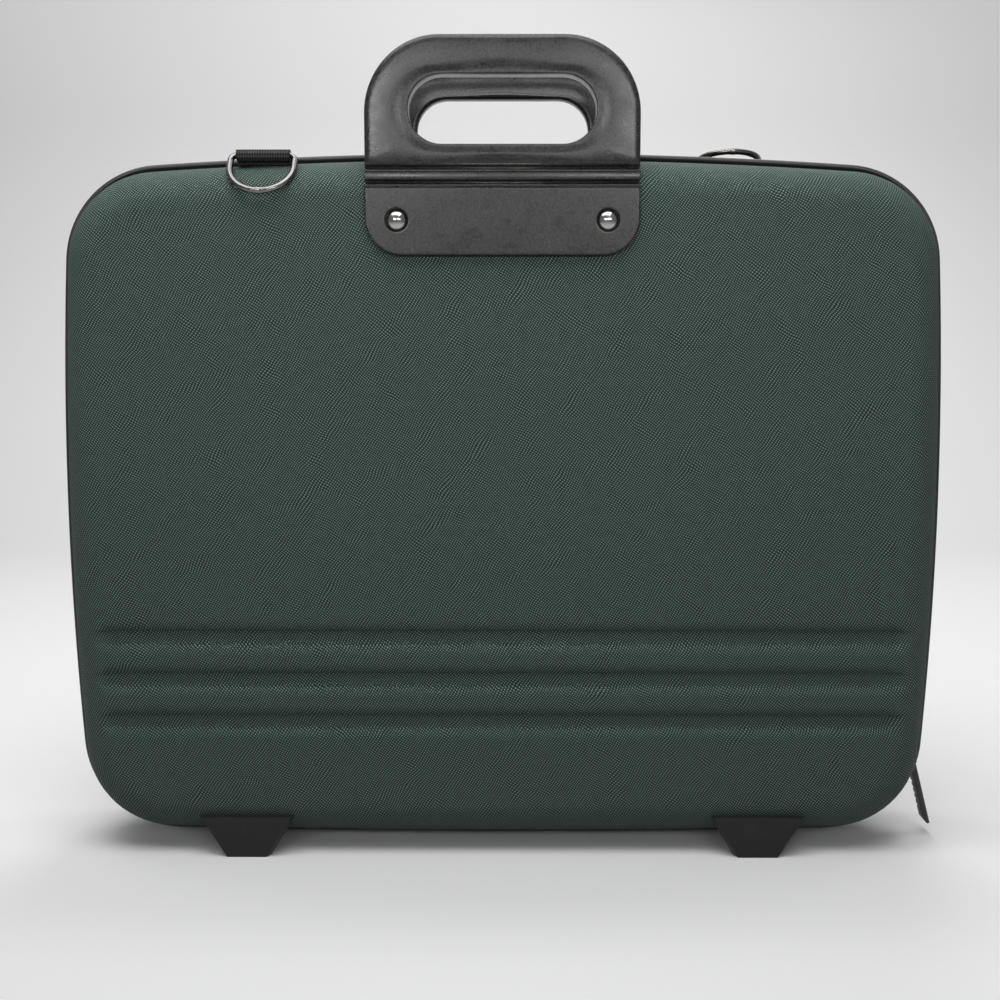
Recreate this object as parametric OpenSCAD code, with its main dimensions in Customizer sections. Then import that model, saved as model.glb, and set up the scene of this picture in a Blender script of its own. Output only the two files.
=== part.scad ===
// Hard-sided laptop case: two moulded shells joined by a fabric hinge along the bottom and a
// zip round the other three sides, with a two-part carrying handle, shoulder-strap rings and feet.
// Millimetres, +Z up, front of the case at -Y, floor at z = 0, origin at the middle of the footprint.

/* [Case outline] */
// Width over the piping
case_w = 430; // [360:1:520]
// Height over the piping
case_h = 337.2; // [280:0.2:400]
// Radius of the slight outward bow of both sides
side_bow_r = 1905; // [1200:5:4000]
// Radius of the upward bow of the top
top_bow_r = 2500; // [1800:10:12000]
// Radius of the slight downward bow of the bottom
bottom_bow_r = 6470; // [3000:10:12000]
// Radius of the four corners
corner_r = 47.5; // [36:0.5:60]
// Height of the piping above the floor
ground_gap = 3; // [2:0.5:8]

/* [Shell] */
// Depth of one shell from the middle plane to its flat face
shell_depth = 34.5; // [28:0.5:50]
// Thickness of the moulded laminate
shell_wall = 5; // [3.5:0.5:8]
// Depth of the shell's rim behind the middle plane
rim_y = 11.4; // [10:0.2:14]
// Inset of the shell's wall at the rim
rim_inset = 3.4; // [3:0.1:5]
// Inset of the rounded edge where it starts to turn
edge_inset = 4; // [3.5:0.1:6]
// Width of the rounded edge, seen from the front
edge_w = 18; // [12:0.5:24]
// Depth of the rounded edge
edge_d = 20.5; // [12:0.5:22]

/* [Moulded channels] */
// Height of the middle of the lowest channel
channel_z = 67; // [55:1:90]
// Distance from one channel to the next
channel_pitch = 20.8; // [18:0.2:26]
// Number of channels
channel_count = 3; // [1:1:4]
// Depth of a channel
channel_depth = 3; // [1:0.1:4]
// Width of a channel's flat floor
channel_floor = 6.6; // [4:0.2:8]
// Width of the rounded shoulder on each side of a channel
channel_shoulder = 5.4; // [3:0.2:6]
// Distance from the edge of the flat face to where a channel starts
channel_inset = 1; // [1:0.5:12]
// Length over which a channel runs out at each end
channel_fade = 7; // [5:0.5:20]

/* [Piping and zip] */
// Diameter of the piping
piping_d = 4; // [3:0.1:5]
// Distance of the piping from the middle plane
piping_y = 9; // [8:0.1:10]
// Inset of the zip tape
tape_inset = 4.3; // [4.2:0.1:5]
// Thickness of the zip tape
tape_t = 0.8; // [0.5:0.1:1.2]
// Width of the interlocked coil
coil_w = 5.4; // [4:0.2:7]
// Thickness of the coil
coil_t = 1.6; // [1:0.1:2]
// Angle round the lower corners at which the zip ends
zip_end_angle = 60; // [50:1:66]
// Length of a slider
slider_l = 12; // [9:0.5:16]
// Width of a slider
slider_w = 8.6; // [7:0.2:9]
// Angle of the side slider round the lower corner, below the corner's middle
side_slider_angle = 18.4; // [14:0.2:24]
// Distance of the bottom slider from the middle
bottom_slider_x = 163; // [150:1:166]
// Length of a pull tab from its pivot
pull_l = 33.5; // [24:0.5:36]
// Width of a pull tab
pull_w = 7.4; // [5:0.2:8]
// Thickness of a pull tab
pull_t = 2.8; // [1.5:0.1:3]
// Outward lean of the side pull tab
pull_lean = 14.6; // [0:0.2:20]

/* [Handles] */
// Width of a handle plate
plate_w = 127; // [100:1:150]
// Thickness of a handle plate
plate_t = 3.2; // [2.5:0.1:4]
// Height of the plate's lower edge below the piping's top
plate_drop = 49.9; // [45:0.1:60]
// Radius of the plate's lower corners
plate_r = 17; // [8:0.5:20]
// Height of the grip's top above the piping's top
grip_rise = 49.5; // [45:0.1:60]
// Radius of the grip's upper corners
grip_r = 35; // [25:0.5:40]
// Half the width of the finger hole
hole_hw = 43.4; // [38:0.1:48]
// Half the height of the finger hole
hole_hh = 15.6; // [13:0.1:18]
// Height of the finger hole's middle above the piping's top
hole_rise = 16.1; // [15:0.1:20]
// Depth of the collar round the finger hole
collar_depth = 10.5; // [6:0.5:14]
// Wall of the collar
collar_wall = 3; // [2:0.1:4]
// Depth of the turned-in border of the grip
border_depth = 8; // [5:0.5:10]
// Wall of the border
border_wall = 2.4; // [1.5:0.1:3]
// Drop of the upper bending groove below the piping's top
groove_drop = 10.2; // [9:0.1:11]
// Distance between the two bending grooves
groove_pitch = 6.6; // [6:0.1:9]
// Width of a bending groove
groove_w = 2.3; // [1.5:0.1:3]
// Thickness of the web left in a bending groove
web_t = 1; // [0.6:0.1:1.5]
// Distance of a rivet from the middle
rivet_x = 48.9; // [30:0.1:52]
// Drop of the rivets below the piping's top
rivet_drop = 34; // [31:0.1:37]
// Diameter of a rivet's head
rivet_head_d = 9; // [7:0.1:10]
// Diameter of a rivet's shank
rivet_d = 4; // [3:0.1:5]
// Diameter of the recess round a rivet's head
recess_d = 10.8; // [10.2:0.1:12]
// Depth of that recess
recess_depth = 1.1; // [0.5:0.1:1.5]
// Diameter of the washer inside the shell
washer_d = 16; // [10:0.5:20]
// Thickness of that washer
washer_t = 1.2; // [0.8:0.1:2]

/* [Rings] */
// Distance of a ring from the middle
ring_x = 112; // [90:1:130]
// Width of the ring between the middles of its sides
ring_w = 30; // [28:0.5:34]
// Reach of the ring from the middle of its bar to the middle of its bow
ring_l = 23; // [18:0.5:28]
// Diameter of the ring's wire
ring_d = 3; // [2:0.1:4]
// Bend radius at the ends of the ring's bar
ring_bend_r = 3; // [2.5:0.1:5]
// Distance of the ring's bar from the middle plane
ring_bar_y = 24; // [20:0.5:27]
// Height of the ring's bar above the top of the piping, at the middle of the case
ring_bar_rise = -3; // [-3.4:0.1:0]
// Drop angle of the front ring, which rests on the shell
front_ring_drop = 50; // [40:1:52]
// Rise angle of the back ring, which rests on the piping
back_ring_rise = 13; // [12:1:40]
// Width of the webbing
webbing_w = 25; // [20:0.5:26]
// Thickness of the webbing
webbing_t = 1.1; // [0.8:0.1:1.3]

/* [Feet] */
// Distance of a foot from the middle
foot_x = 125; // [100:1:150]
// Height of a foot
foot_h = 20; // [17:0.5:20.5]
// Width of a foot's front face at its top
foot_top_w = 43; // [30:1:60]
// Width of a foot at its sole
foot_sole_w = 19; // [12:1:26]
// How far a foot stands out from the shell's flat face
foot_proud = 2.7; // [1:0.1:3.4]
// Distance of the sole's inner end from the middle plane
foot_heel_y = 17; // [16:0.5:22]
// Bevel of a foot's side edges
foot_bevel = 2; // [1:0.1:3]
// Wall of a foot
foot_wall = 2.4; // [1.5:0.1:4]
// Diameter of a foot's screw
screw_d = 3; // [2.5:0.1:4]
// Diameter of its head
screw_head_d = 7; // [5.5:0.1:9]

/* [Inside] */
// Distance of a laptop strap from the middle
strap_x = 95; // [60:1:150]
// Distance of the laptop straps from the middle plane
strap_y = 5; // [3:0.5:10]
// Width of a laptop strap
strap_w = 25; // [20:1:40]
// Thickness of a laptop strap
strap_t = 1.4; // [1:0.1:2]
// Width of the document pocket
pocket_w = 310; // [200:5:330]
// Height of the document pocket
pocket_h = 190; // [120:5:200]
// Height of the pocket's lower edge above the floor
pocket_z = 34; // [30:1:60]
// Depth of the document pocket
pocket_d = 12; // [8:1:18]
// Thickness of the pocket's cloth
pocket_t = 1.4; // [1:0.1:2]

/* [Hidden] */

// Clearance between pieces that are stitched or glued together
seat_gap = 0.2;
// Clearance round a part that turns or slides
run_gap = 0.3;
// Clearance round a pin or a shank
pin_gap = 0.05;
// Length that a cut runs past the face it opens
over = 1;

top_z = ground_gap + case_h;
mid_z = ground_gap + case_h / 2;
face_inset = edge_inset + edge_w;
turn_y = shell_depth - edge_d;
plate_back = shell_depth + seat_gap;
plate_front = plate_back + plate_t;

// Arcs of the rim, seen from the front: two side bows, two long bows, four tangent corners.
// Each is [centre x, centre z above the middle, radius, first angle, swept angle].
side_cx = case_w / 2 - side_bow_r;
top_cz = case_h / 2 - top_bow_r;
bottom_cz = bottom_bow_r - case_h / 2;

// Centre of the right-hand corner between the side's bow and a long bow; up is 1 or -1
function corner_centre(long_r, long_cz, up) = let (
    start = [side_cx, 0], toward = [0, long_cz] - start, gap = norm(toward),
    side_reach = side_bow_r - corner_r, long_reach = long_r - corner_r,
    along = (side_reach ^ 2 - long_reach ^ 2 + gap ^ 2) / (2 * gap),
    across = up * sqrt(side_reach ^ 2 - along ^ 2)
) start + (along * toward + across * [-toward.y, toward.x]) / gap;
upper_at = corner_centre(top_bow_r, top_cz, 1);
lower_at = corner_centre(bottom_bow_r, bottom_cz, -1);
// Angles at which the bows end, measured from level
side_up = atan2(upper_at.y, upper_at.x - side_cx);
side_down = atan2(-lower_at.y, lower_at.x - side_cx);
top_end = atan2(upper_at.y - top_cz, upper_at.x);
bottom_end = atan2(bottom_cz - lower_at.y, lower_at.x);
upper_sweep = top_end - side_up;
lower_sweep = bottom_end - side_down;

right_arc = [side_cx, 0, side_bow_r, -side_down, side_down + side_up];
left_arc = [-side_cx, 0, side_bow_r, 180 - side_up, side_down + side_up];
top_arc = [0, top_cz, top_bow_r, top_end, 180 - 2 * top_end];
bottom_arc = [0, bottom_cz, bottom_bow_r, 180 + bottom_end, 180 - 2 * bottom_end];
upper_corners = [
    [upper_at.x, upper_at.y, corner_r, side_up, upper_sweep],
    [-upper_at.x, upper_at.y, corner_r, 180 - top_end, upper_sweep]
];
lower_corners = [
    [lower_at.x, lower_at.y, corner_r, -bottom_end, lower_sweep],
    [-lower_at.x, lower_at.y, corner_r, 180 + side_down, lower_sweep]
];
zip_corners = [
    [lower_at.x, lower_at.y, corner_r, -zip_end_angle, zip_end_angle - side_down],
    [-lower_at.x, lower_at.y, corner_r, 180 + side_down, zip_end_angle - side_down]
];
// The arcs in order, anticlockwise from the right-hand side
upper_run = [right_arc, upper_corners[0], top_arc, upper_corners[1], left_arc];
rim_arcs = concat(upper_run, [lower_corners[1], bottom_arc, lower_corners[0]]);
zip_arcs = concat([zip_corners[0]], upper_run, [zip_corners[1]]);

// Points along arcs, as [centre x, centre z, radius, angle], with the last one left out
arc_steps = 6;
// Angle left between the end of the zip and the hinge
zip_end_gap = 1.5;
function arc_edges(arcs, steps = arc_steps) = [
    for (a = arcs, k = [0 : steps - 1]) [a[0], a[1], a[2], a[3] + a[4] * k / steps]
];
rim_edges = arc_edges(rim_arcs);
function arc_end(a) = [a[0], a[1], a[2], a[3] + a[4]];
function with_end(edges, arcs) = concat(edges, [arc_end(arcs[len(arcs) - 1])]);
zip_edges = with_end(arc_edges(zip_arcs), zip_arcs);

// The hinge's run: along the bottom and a little round both lower corners, short of the zip
hinge_turn = bottom_end - zip_end_angle - zip_end_gap;
hinge_turn_steps = 2;
hinge_left = [-lower_at.x, lower_at.y, corner_r, 180 + bottom_end - hinge_turn, hinge_turn];
hinge_right = [lower_at.x, lower_at.y, corner_r, -bottom_end, hinge_turn];
hinge_turn_right = with_end(arc_edges([hinge_right], hinge_turn_steps), [hinge_right]);
hinge_edges = concat(
    arc_edges([hinge_left], hinge_turn_steps),
    arc_edges([bottom_arc]),
    hinge_turn_right
);

// A point of the rim, moved inwards, as x and height above the middle
function rim_point(e, inset) = [
    e[0] + (e[2] - inset) * cos(e[3]),
    e[1] + (e[2] - inset) * sin(e[3])
];

// Flat strip that follows a run of the rim between two insets and two distances from the middle
// plane, positive to the front
module rim_strip(edges, inset, thickness, near, far) {
    outside = [for (e = edges) rim_point(e, inset)];
    inside = [for (k = [len(edges) - 1 : -1 : 0]) rim_point(edges[k], inset + thickness)];
    translate([0, -near, mid_z]) rotate([90, 0, 0])
        linear_extrude(far - near) polygon(concat(outside, inside));
}

// Height of the top and of the bottom of the rim at a distance from the middle, moved inwards
function top_at(x, inset) = mid_z + top_cz + sqrt((top_bow_r - inset) ^ 2 - x ^ 2);
function bottom_at(x, inset) = mid_z + bottom_cz - sqrt((bottom_bow_r - inset) ^ 2 - x ^ 2);

// The back half is the front half turned over the middle plane
module as_back() {
    mirror([0, 1, 0]) children();
}

// ---- Moulded shell: a loft of parallel rings closed by a ruled face that carries the channels

corner_steps = 6;
edge_steps = 6;

// Heights of the face's rows between the corners, relative to the middle: each channel has its
// floor's two edges and the rows of its two rounded shoulders
shoulder_shares = [0, 0.25, 0.6, 1];
function shoulder_fall(share) = 1 - sqrt(1 - (1 - share) ^ 2);
channel_rows = [
    for (c = [0 : channel_count - 1], side = [-1, 1], k = [0 : 3])
        let (share = shoulder_shares[side < 0 ? 3 - k : k])
            channel_z + c * channel_pitch + side * (channel_floor / 2 + share * channel_shoulder) - mid_z
];
upper_rows = [0.15, 0.45, 0.75];
channels_top = channel_rows[len(channel_rows) - 1];
side_top = (side_bow_r - face_inset) * sin(side_up);
side_rows = concat(
    channel_rows,
    [for (share = upper_rows) channels_top + share * (side_top - channels_top)]
);

// Depth that the channels press into the face at a height and distance from the middle
function channel_fall(z) = max([
    for (c = [0 : channel_count - 1])
        let (away = abs(z - (channel_z + c * channel_pitch - mid_z)) - channel_floor / 2)
            away <= 0 ? 1 : away >= channel_shoulder ? 0 : shoulder_fall(away / channel_shoulder)
]);
function channel_at(x, z, half_w) =
    let (run = (half_w - channel_inset - abs(x)) / channel_fade)
        channel_depth * channel_fall(z) * sin(90 * min(1, max(0, run)));

// The right-hand edge of the rows, bottom to top: [centre x, centre z, radius, angle]
row_edge = concat(
    [for (k = [0 : corner_steps])
        [lower_at.x, lower_at.y, corner_r, -bottom_end + lower_sweep * k / corner_steps]],
    [for (z = side_rows) [side_cx, 0, side_bow_r, asin(z / (side_bow_r - face_inset))]],
    [for (k = [0 : corner_steps])
        [upper_at.x, upper_at.y, corner_r, side_up + upper_sweep * k / corner_steps]]
);
// Places of the columns across the face, as shares of a row's half width
column_shares = [-1, -0.99, -0.975, -0.955, -0.7, -0.35, 0, 0.35, 0.7, 0.955, 0.975, 0.99, 1];
rows = len(row_edge);
cols = len(column_shares);
top_half = upper_at.x + (corner_r - face_inset) * cos(top_end);
bottom_half = lower_at.x + (corner_r - face_inset) * cos(bottom_end);
function top_edge(share) =
    [0, top_cz, top_bow_r, acos(share * top_half / (top_bow_r - face_inset))];
function bottom_edge(share) =
    [0, bottom_cz, bottom_bow_r, -acos(share * bottom_half / (bottom_bow_r - face_inset))];
function flip_x(e) = [-e[0], e[1], e[2], 180 - e[3]];

// Boundary of the face, once round: bottom row, right edge, top row, left edge
boundary = concat(
    [for (c = [0 : cols - 2]) bottom_edge(column_shares[c])],
    [for (r = [0 : rows - 2]) row_edge[r]],
    [for (c = [cols - 1 : -1 : 1]) top_edge(column_shares[c])],
    [for (r = [rows - 1 : -1 : 1]) flip_x(row_edge[r])]
);
ring_n = len(boundary);
function ring_at(inset, y) = [
    for (e = boundary) let (p = rim_point(e, inset)) [p.x, -y, mid_z + p.y]
];

// Rings from the rim's inner edge, over the outside, to the edge of the flat face
outer_rings = concat(
    [ring_at(rim_inset, rim_y)],
    [for (k = [0 : edge_steps]) let (a = 90 * k / edge_steps)
        ring_at(edge_inset + edge_w * (1 - cos(a)), turn_y + edge_d * sin(a))]
);
// Rings from the inner cap back to the rim
inner_steps = 3;
inner_rings = concat(
    [for (k = [inner_steps : -1 : 0]) let (a = 90 * k / inner_steps)
        ring_at(edge_inset + shell_wall + (edge_w - shell_wall) * (1 - cos(a)),
                turn_y + (edge_d - shell_wall) * sin(a))],
    [ring_at(rim_inset + shell_wall, rim_y)]
);
inner_face = turn_y + edge_d - shell_wall;

face_cells = [
    for (r = [1 : rows - 2], c = [1 : cols - 2])
        let (edge = rim_point(row_edge[r], face_inset), x = column_shares[c] * edge.x)
            [x, -shell_depth + channel_at(x, edge.y, edge.x), mid_z + edge.y]
];

last_outer = (len(outer_rings) - 1) * ring_n;
first_cell = last_outer + ring_n;
first_inner = first_cell + len(face_cells);

// Index of the face's point in row r and column c
function face_index(r, c) =
    r == 0 ? last_outer + c :
    r == rows - 1 ? last_outer + cols - 1 + rows - 1 + (cols - 1 - c) :
    c == cols - 1 ? last_outer + cols - 1 + r :
    c == 0 ? last_outer + (ring_n - r) :
    first_cell + (r - 1) * (cols - 2) + c - 1;

// Quads between ring a and ring b, as triangles
function band(a, b, n) = [
    for (i = [0 : n - 1]) let (j = (i + 1) % n)
        each [[a + i, b + i, b + j], [a + i, b + j, a + j]]
];

shell_points = concat(
    [for (ring = outer_rings) each ring],
    face_cells,
    [for (ring = inner_rings) each ring]
);
last_inner = first_inner + (len(inner_rings) - 1) * ring_n;
shell_faces = concat(
    [for (k = [0 : len(outer_rings) - 2]) each band(k * ring_n, (k + 1) * ring_n, ring_n)],
    [for (r = [0 : rows - 2], c = [0 : cols - 2])
        let (p = face_index(r, c), q = face_index(r, c + 1),
             s = face_index(r + 1, c + 1), t = face_index(r + 1, c))
            each [[p, t, s], [p, s, q]]],
    [[for (i = [0 : ring_n - 1]) first_inner + i]],
    [for (k = [0 : len(inner_rings) - 2])
        each band(first_inner + k * ring_n, first_inner + (k + 1) * ring_n, ring_n)],
    band(last_inner, 0, ring_n)
);

// Direction of the foot's screw: square to the rounded edge where the foot sits on it
screw_turn = 52;
screw_y = turn_y + edge_d * sin(screw_turn);
screw_z = ground_gap + edge_inset + edge_w * (1 - cos(screw_turn));
screw_dir = atan2(edge_w * sin(screw_turn), edge_d * cos(screw_turn));

// Puts a piece on the foot's screw axis, with its +Z pointing out of the shell
module at_foot_screws() {
    for (side = [-1, 1])
        translate([side * foot_x, -screw_y, screw_z])
            rotate([180 - screw_dir, 0, 0]) children();
}

module at_rivets() {
    for (side = [-1, 1])
        translate([side * rivet_x, 0, top_z - rivet_drop])
            rotate([90, 0, 0]) children();
}

module shell_half() {
    difference() {
        polyhedron(points = shell_points, faces = shell_faces, convexity = 6);
        at_rivets()
            translate([0, 0, inner_face - over])
                cylinder(d = rivet_d + 2 * pin_gap, h = shell_wall + 2 * over, $fn = 32);
        at_foot_screws()
            translate([0, 0, -shell_wall - 2 * over])
                cylinder(d = screw_d + 2 * pin_gap, h = shell_wall + 4 * over, $fn = 32);
    }
}

module front_shell() {
    color("#3f5c54") shell_half();
}

module back_shell() {
    color("#3f5c54") as_back() shell_half();
}

// ---- Piping: a smooth covered cord sewn along each shell's rim

piping_sides = 8;
piping_points = [
    for (e = rim_edges, k = [0 : piping_sides - 1])
        let (a = 360 * k / piping_sides, p = rim_point(e, piping_d / 2 * (1 - cos(a))))
            [p.x, -piping_y - piping_d / 2 * sin(a), mid_z + p.y]
];
piping_faces = [
    for (i = [0 : len(rim_edges) - 1], k = [0 : piping_sides - 1])
        let (j = (i + 1) % len(rim_edges), m = (k + 1) % piping_sides)
            each [
                [i * piping_sides + k, j * piping_sides + k, j * piping_sides + m],
                [i * piping_sides + k, j * piping_sides + m, i * piping_sides + m]
            ]
];

module piping_half() {
    polyhedron(points = piping_points, faces = piping_faces, convexity = 8);
}

module front_piping() {
    color("#5d5a57") piping_half();
}

module back_piping() {
    color("#5d5a57") as_back() piping_half();
}

// ---- Zip: two tapes, each with its half of the coil, and the closed tail at the right-hand end

module tape_half() {
    rim_strip(zip_edges, tape_inset, tape_t, run_gap, rim_y - seat_gap);
}

coil_inset = tape_inset - seat_gap / 2 - coil_t;

module coil_half() {
    rim_strip(zip_edges, coil_inset, coil_t, run_gap / 2, coil_w / 2);
}

module front_zip_tape() {
    color("#161616") tape_half();
}

module back_zip_tape() {
    color("#161616") as_back() tape_half();
}

module front_zip_coil() {
    color("#0c0c0c") coil_half();
}

module back_zip_coil() {
    color("#0c0c0c") as_back() coil_half();
}

// The tail starts under the bottom slider and ends with the hinge, short of the two half coils
tail_edges = concat(
    [[0, bottom_cz, bottom_bow_r, 270 + asin((bottom_slider_x - slider_l) / bottom_bow_r)]],
    hinge_turn_right
);

module zip_tail() {
    color("#0c0c0c")
        rim_strip(tail_edges, coil_inset, coil_t, -coil_w / 2, coil_w / 2);
}

// ---- Hinge: a strip of the covering fabric along the bottom, sewn to both rims

module hinge_strip() {
    color("#1d2422")
        rim_strip(hinge_edges, tape_inset, tape_t, seat_gap - rim_y, rim_y - seat_gap);
}

// ---- Sliders: a plate that runs over the coil, with a bridge that carries the pull tab

plate_under = coil_inset - run_gap;
slider_t = 1.2;
guard_w = 1;
guard_drop = 1;
bridge_w = 2.6;
bridge_r = 2.8;
bridge_hole_r = 1.5;
// Distance from the underside of a slider's plate to the pull tab's pivot
pull_over = slider_t + pull_t / 2 + seat_gap;

// A slider with its plate's underside at z = 0, running along X: a plate over the coil, a guard
// down its back edge and a bridge with the hole for the pull tab's pin
module slider() {
    translate([-slider_l / 2, -slider_w / 2, 0]) cube([slider_l, slider_w, slider_t]);
    translate([-slider_l / 2, slider_w / 2 - guard_w, -guard_drop])
        cube([slider_l, guard_w, guard_drop + slider_t / 2]);
    translate([0, bridge_w / 2, 0]) rotate([90, 0, 0])
        linear_extrude(bridge_w)
            difference() {
                union() {
                    translate([0, pull_over]) circle(r = bridge_r, $fn = 48);
                    translate([-bridge_r, slider_t / 2])
                        square([2 * bridge_r, pull_over - slider_t / 2]);
                }
                translate([0, pull_over]) circle(r = bridge_hole_r, $fn = 36);
            }
}

bottom_slider_angle = asin(bottom_slider_x / bottom_bow_r);

// Puts a piece on the right-hand lower corner, with +Z pointing out and +X on down the rim
module on_side() {
    translate([lower_at.x, 0, mid_z + lower_at.y])
        rotate([0, side_slider_angle, 0])
            translate([corner_r - plate_under, 0, 0])
                rotate([0, 90, 0]) children();
}

// Puts a piece under the bottom of the rim, with +Z pointing down and +X pointing left
module on_bottom() {
    translate([0, 0, mid_z + bottom_cz])
        rotate([0, 90 - bottom_slider_angle, 0])
            translate([bottom_bow_r - plate_under, 0, 0])
                rotate([0, 90, 0]) children();
}

module side_slider() {
    color("#2b2b2b") on_side() slider();
}

module bottom_slider() {
    color("#2b2b2b") on_bottom() slider();
}

// A pull tab: a cross-pin in the slider's bridge, two round-ended cheeks beside the bridge and a
// moulded tab with a chamfered end
pull_pin_d = 2 * (bridge_hole_r - pin_gap * 2);
cheek_gap = bridge_w + 2 * run_gap;
tab_gap = 0.8;
tab_start = bridge_r + tab_gap;

module pull() {
    rotate([90, 0, 0]) translate([0, 0, -pull_w / 2])
        cylinder(d = pull_pin_d, h = pull_w, $fn = 32);
    for (side = [0, 1])
        mirror([0, side, 0])
            translate([0, pull_w / 2, 0]) rotate([90, 0, 0])
                linear_extrude((pull_w - cheek_gap) / 2) {
                    circle(d = pull_t, $fn = 32);
                    translate([0, -pull_t / 2]) square([tab_start + seat_gap, pull_t]);
                }
    translate([0, pull_w / 2, 0]) rotate([90, 0, 0])
        linear_extrude(pull_w)
            polygon([
                [tab_start, -pull_t / 2], [pull_l, -pull_t / 2], [pull_l, 0],
                [pull_l - pull_t, pull_t / 2], [tab_start, pull_t / 2]
            ]);
}

module side_pull() {
    color("#3a3938") on_side() translate([0, 0, pull_over])
        rotate([0, -(pull_lean + side_slider_angle), 0]) pull();
}

module bottom_pull() {
    color("#3a3938") on_bottom() translate([0, 0, pull_over]) pull();
}

// ---- Handle plate: the riveted foot of the handle, up to its lower bending groove

plate_low = top_z - plate_drop;
groove_high = top_z - groove_drop;
groove_low = groove_high - groove_pitch;
grip_low = groove_high + groove_w / 2;
grip_high = top_z + grip_rise;
hole_z = top_z + hole_rise;
web_gap = 0.2;
lip_w = 0.6;
lip_depth = 0.5;
lip_drop = 2.4;

function arc(cx, cz, r, from, to, steps) = [
    for (k = [0 : steps]) let (a = from + (to - from) * k / steps) [cx + r * cos(a), cz + r * sin(a)]
];

// Stands a 2D outline, drawn as x and z, between two distances from the middle plane on the front
module stand(near, far) {
    translate([0, -near, 0]) rotate([90, 0, 0]) linear_extrude(far - near) children();
}

module web(z, height) {
    translate([-plate_w / 2, -plate_back - web_t, z]) cube([plate_w, web_t, height]);
}

// Fine line moulded below each groove
module lip_line(z) {
    translate([-plate_w, -plate_front - over, z - lip_drop]) cube([2 * plate_w, over + lip_depth, lip_w]);
}

module handle_plate_half() {
    half = plate_w / 2;
    difference() {
        union() {
            stand(plate_back, plate_front)
                polygon(concat(
                    arc(-half + plate_r, plate_low + plate_r, plate_r, 180, 270, 12),
                    arc(half - plate_r, plate_low + plate_r, plate_r, 270, 360, 12),
                    [[half, groove_low - groove_w / 2], [-half, groove_low - groove_w / 2]]
                ));
            web(groove_low - groove_w / 2 - over, groove_w + over - web_gap);
        }
        lip_line(groove_low - groove_w / 2 + lip_drop / 2);
        at_rivets() {
            translate([0, 0, plate_back - over])
                cylinder(d = rivet_d + 2 * pin_gap, h = plate_t + 2 * over, $fn = 32);
            translate([0, 0, plate_front - recess_depth])
                cylinder(d = recess_d, h = recess_depth + over, $fn = 48);
        }
    }
}

module handle_band_half() {
    band_low = groove_low + groove_w / 2;
    band_high = groove_high - groove_w / 2;
    difference() {
        union() {
            translate([-plate_w / 2, -plate_front, band_low])
                cube([plate_w, plate_t, band_high - band_low]);
            web(band_high - over, groove_w + over - web_gap);
        }
        lip_line(band_high + lip_drop / 2);
    }
}

// ---- Grip: a moulded ring of channel section round the finger hole, open towards the case

// Outer edge of the grip, once round from the lower right corner, relative to the hole's middle
grip_half = plate_w / 2;
grip_arc_x = grip_half - grip_r;
grip_arc_z = grip_high - hole_z - grip_r;
grip_foot_z = grip_low - hole_z;
function steps_between(a, b, n) = [for (k = [0 : n - 1]) a + (b - a) * k / n];
grip_edge = concat(
    steps_between([grip_half, grip_foot_z], [grip_half, grip_arc_z], 4),
    arc(grip_arc_x, grip_arc_z, grip_r, 0, 90, 8),
    steps_between([grip_arc_x, grip_arc_z + grip_r], [-grip_arc_x, grip_arc_z + grip_r], 4),
    arc(-grip_arc_x, grip_arc_z, grip_r, 90, 180, 8),
    steps_between([-grip_half, grip_arc_z], [-grip_half, grip_foot_z], 4),
    steps_between([-grip_half, grip_foot_z], [grip_half, grip_foot_z], 10)
);

// Neighbouring points of two runs that are the same point are kept once
grip_ring = [
    for (i = [0 : len(grip_edge) - 1])
        if (norm(grip_edge[i] - grip_edge[(i + 1) % len(grip_edge)]) > 0.01) grip_edge[i]
];

// Edge of the stadium-shaped finger hole in the direction of a point
function hole_edge(p) = let (
    u = p / norm(p), a = hole_hw - hole_hh, flat = hole_hh / max(0.001, abs(u.y)),
    c = a * abs(u.x), round_t = c + sqrt(c ^ 2 - a ^ 2 + hole_hh ^ 2)
) u * (abs(u.x) * flat <= a ? flat : round_t);

// Depth of the border at a height: only the plate's thickness at the bending groove
border_rise = 14;
function border_at(z) =
    plate_t + (border_depth - plate_t) * min(1, max(0, (z - grip_foot_z) / border_rise));

// The front is a shallow roll round the hole and an eased outer edge. Each place of the rounding is
// [distance from the edge, depth behind the front].
hole_round = [[0, 2.2], [0.9, 0.7], [3, 0], [6.5, 0.3]];
outer_round = [[1.4, 0.5], [0, 1.6]];
// Section between hole and border, as [from the hole, from the border, depth behind the front]:
// a piece of the width is counted from the hole where the second value is undef
function grip_section(z) = [
    [0, undef, collar_depth],
    for (r = hole_round) [r[0], undef, r[1]],
    for (r = outer_round) [undef, r[0], r[1]],
    [undef, 0, border_at(z)],
    [undef, border_wall, border_at(z)], [undef, border_wall, plate_t],
    [collar_wall, undef, plate_t], [collar_wall, undef, collar_depth]
];
section_n = len(grip_section(0));
function section_point(p, s) = let (
    h = hole_edge(p), span = norm(p - h),
    share = is_undef(s[1]) ? s[0] / span : 1 - s[1] / span,
    q = h + (p - h) * share
) [q.x, -plate_front + s[2], hole_z + q.y];
grip_points = [for (p = grip_ring, s = grip_section(p.y)) section_point(p, s)];
grip_n = len(grip_ring);
grip_faces = [
    for (i = [0 : grip_n - 1], k = [0 : section_n - 1])
        let (j = (i + 1) % grip_n, m = (k + 1) % section_n,
             a = i * section_n + k, b = j * section_n + k,
             c = j * section_n + m, d = i * section_n + m)
            each [[a, b, c], [a, c, d]]
];

module grip_half_ring() {
    polyhedron(points = grip_points, faces = grip_faces, convexity = 8);
}

module front_handle_plate() {
    color("#55524f") handle_plate_half();
}

module back_handle_plate() {
    color("#55524f") as_back() handle_plate_half();
}

module front_handle_band() {
    color("#55524f") handle_band_half();
}

module back_handle_band() {
    color("#55524f") as_back() handle_band_half();
}

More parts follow.
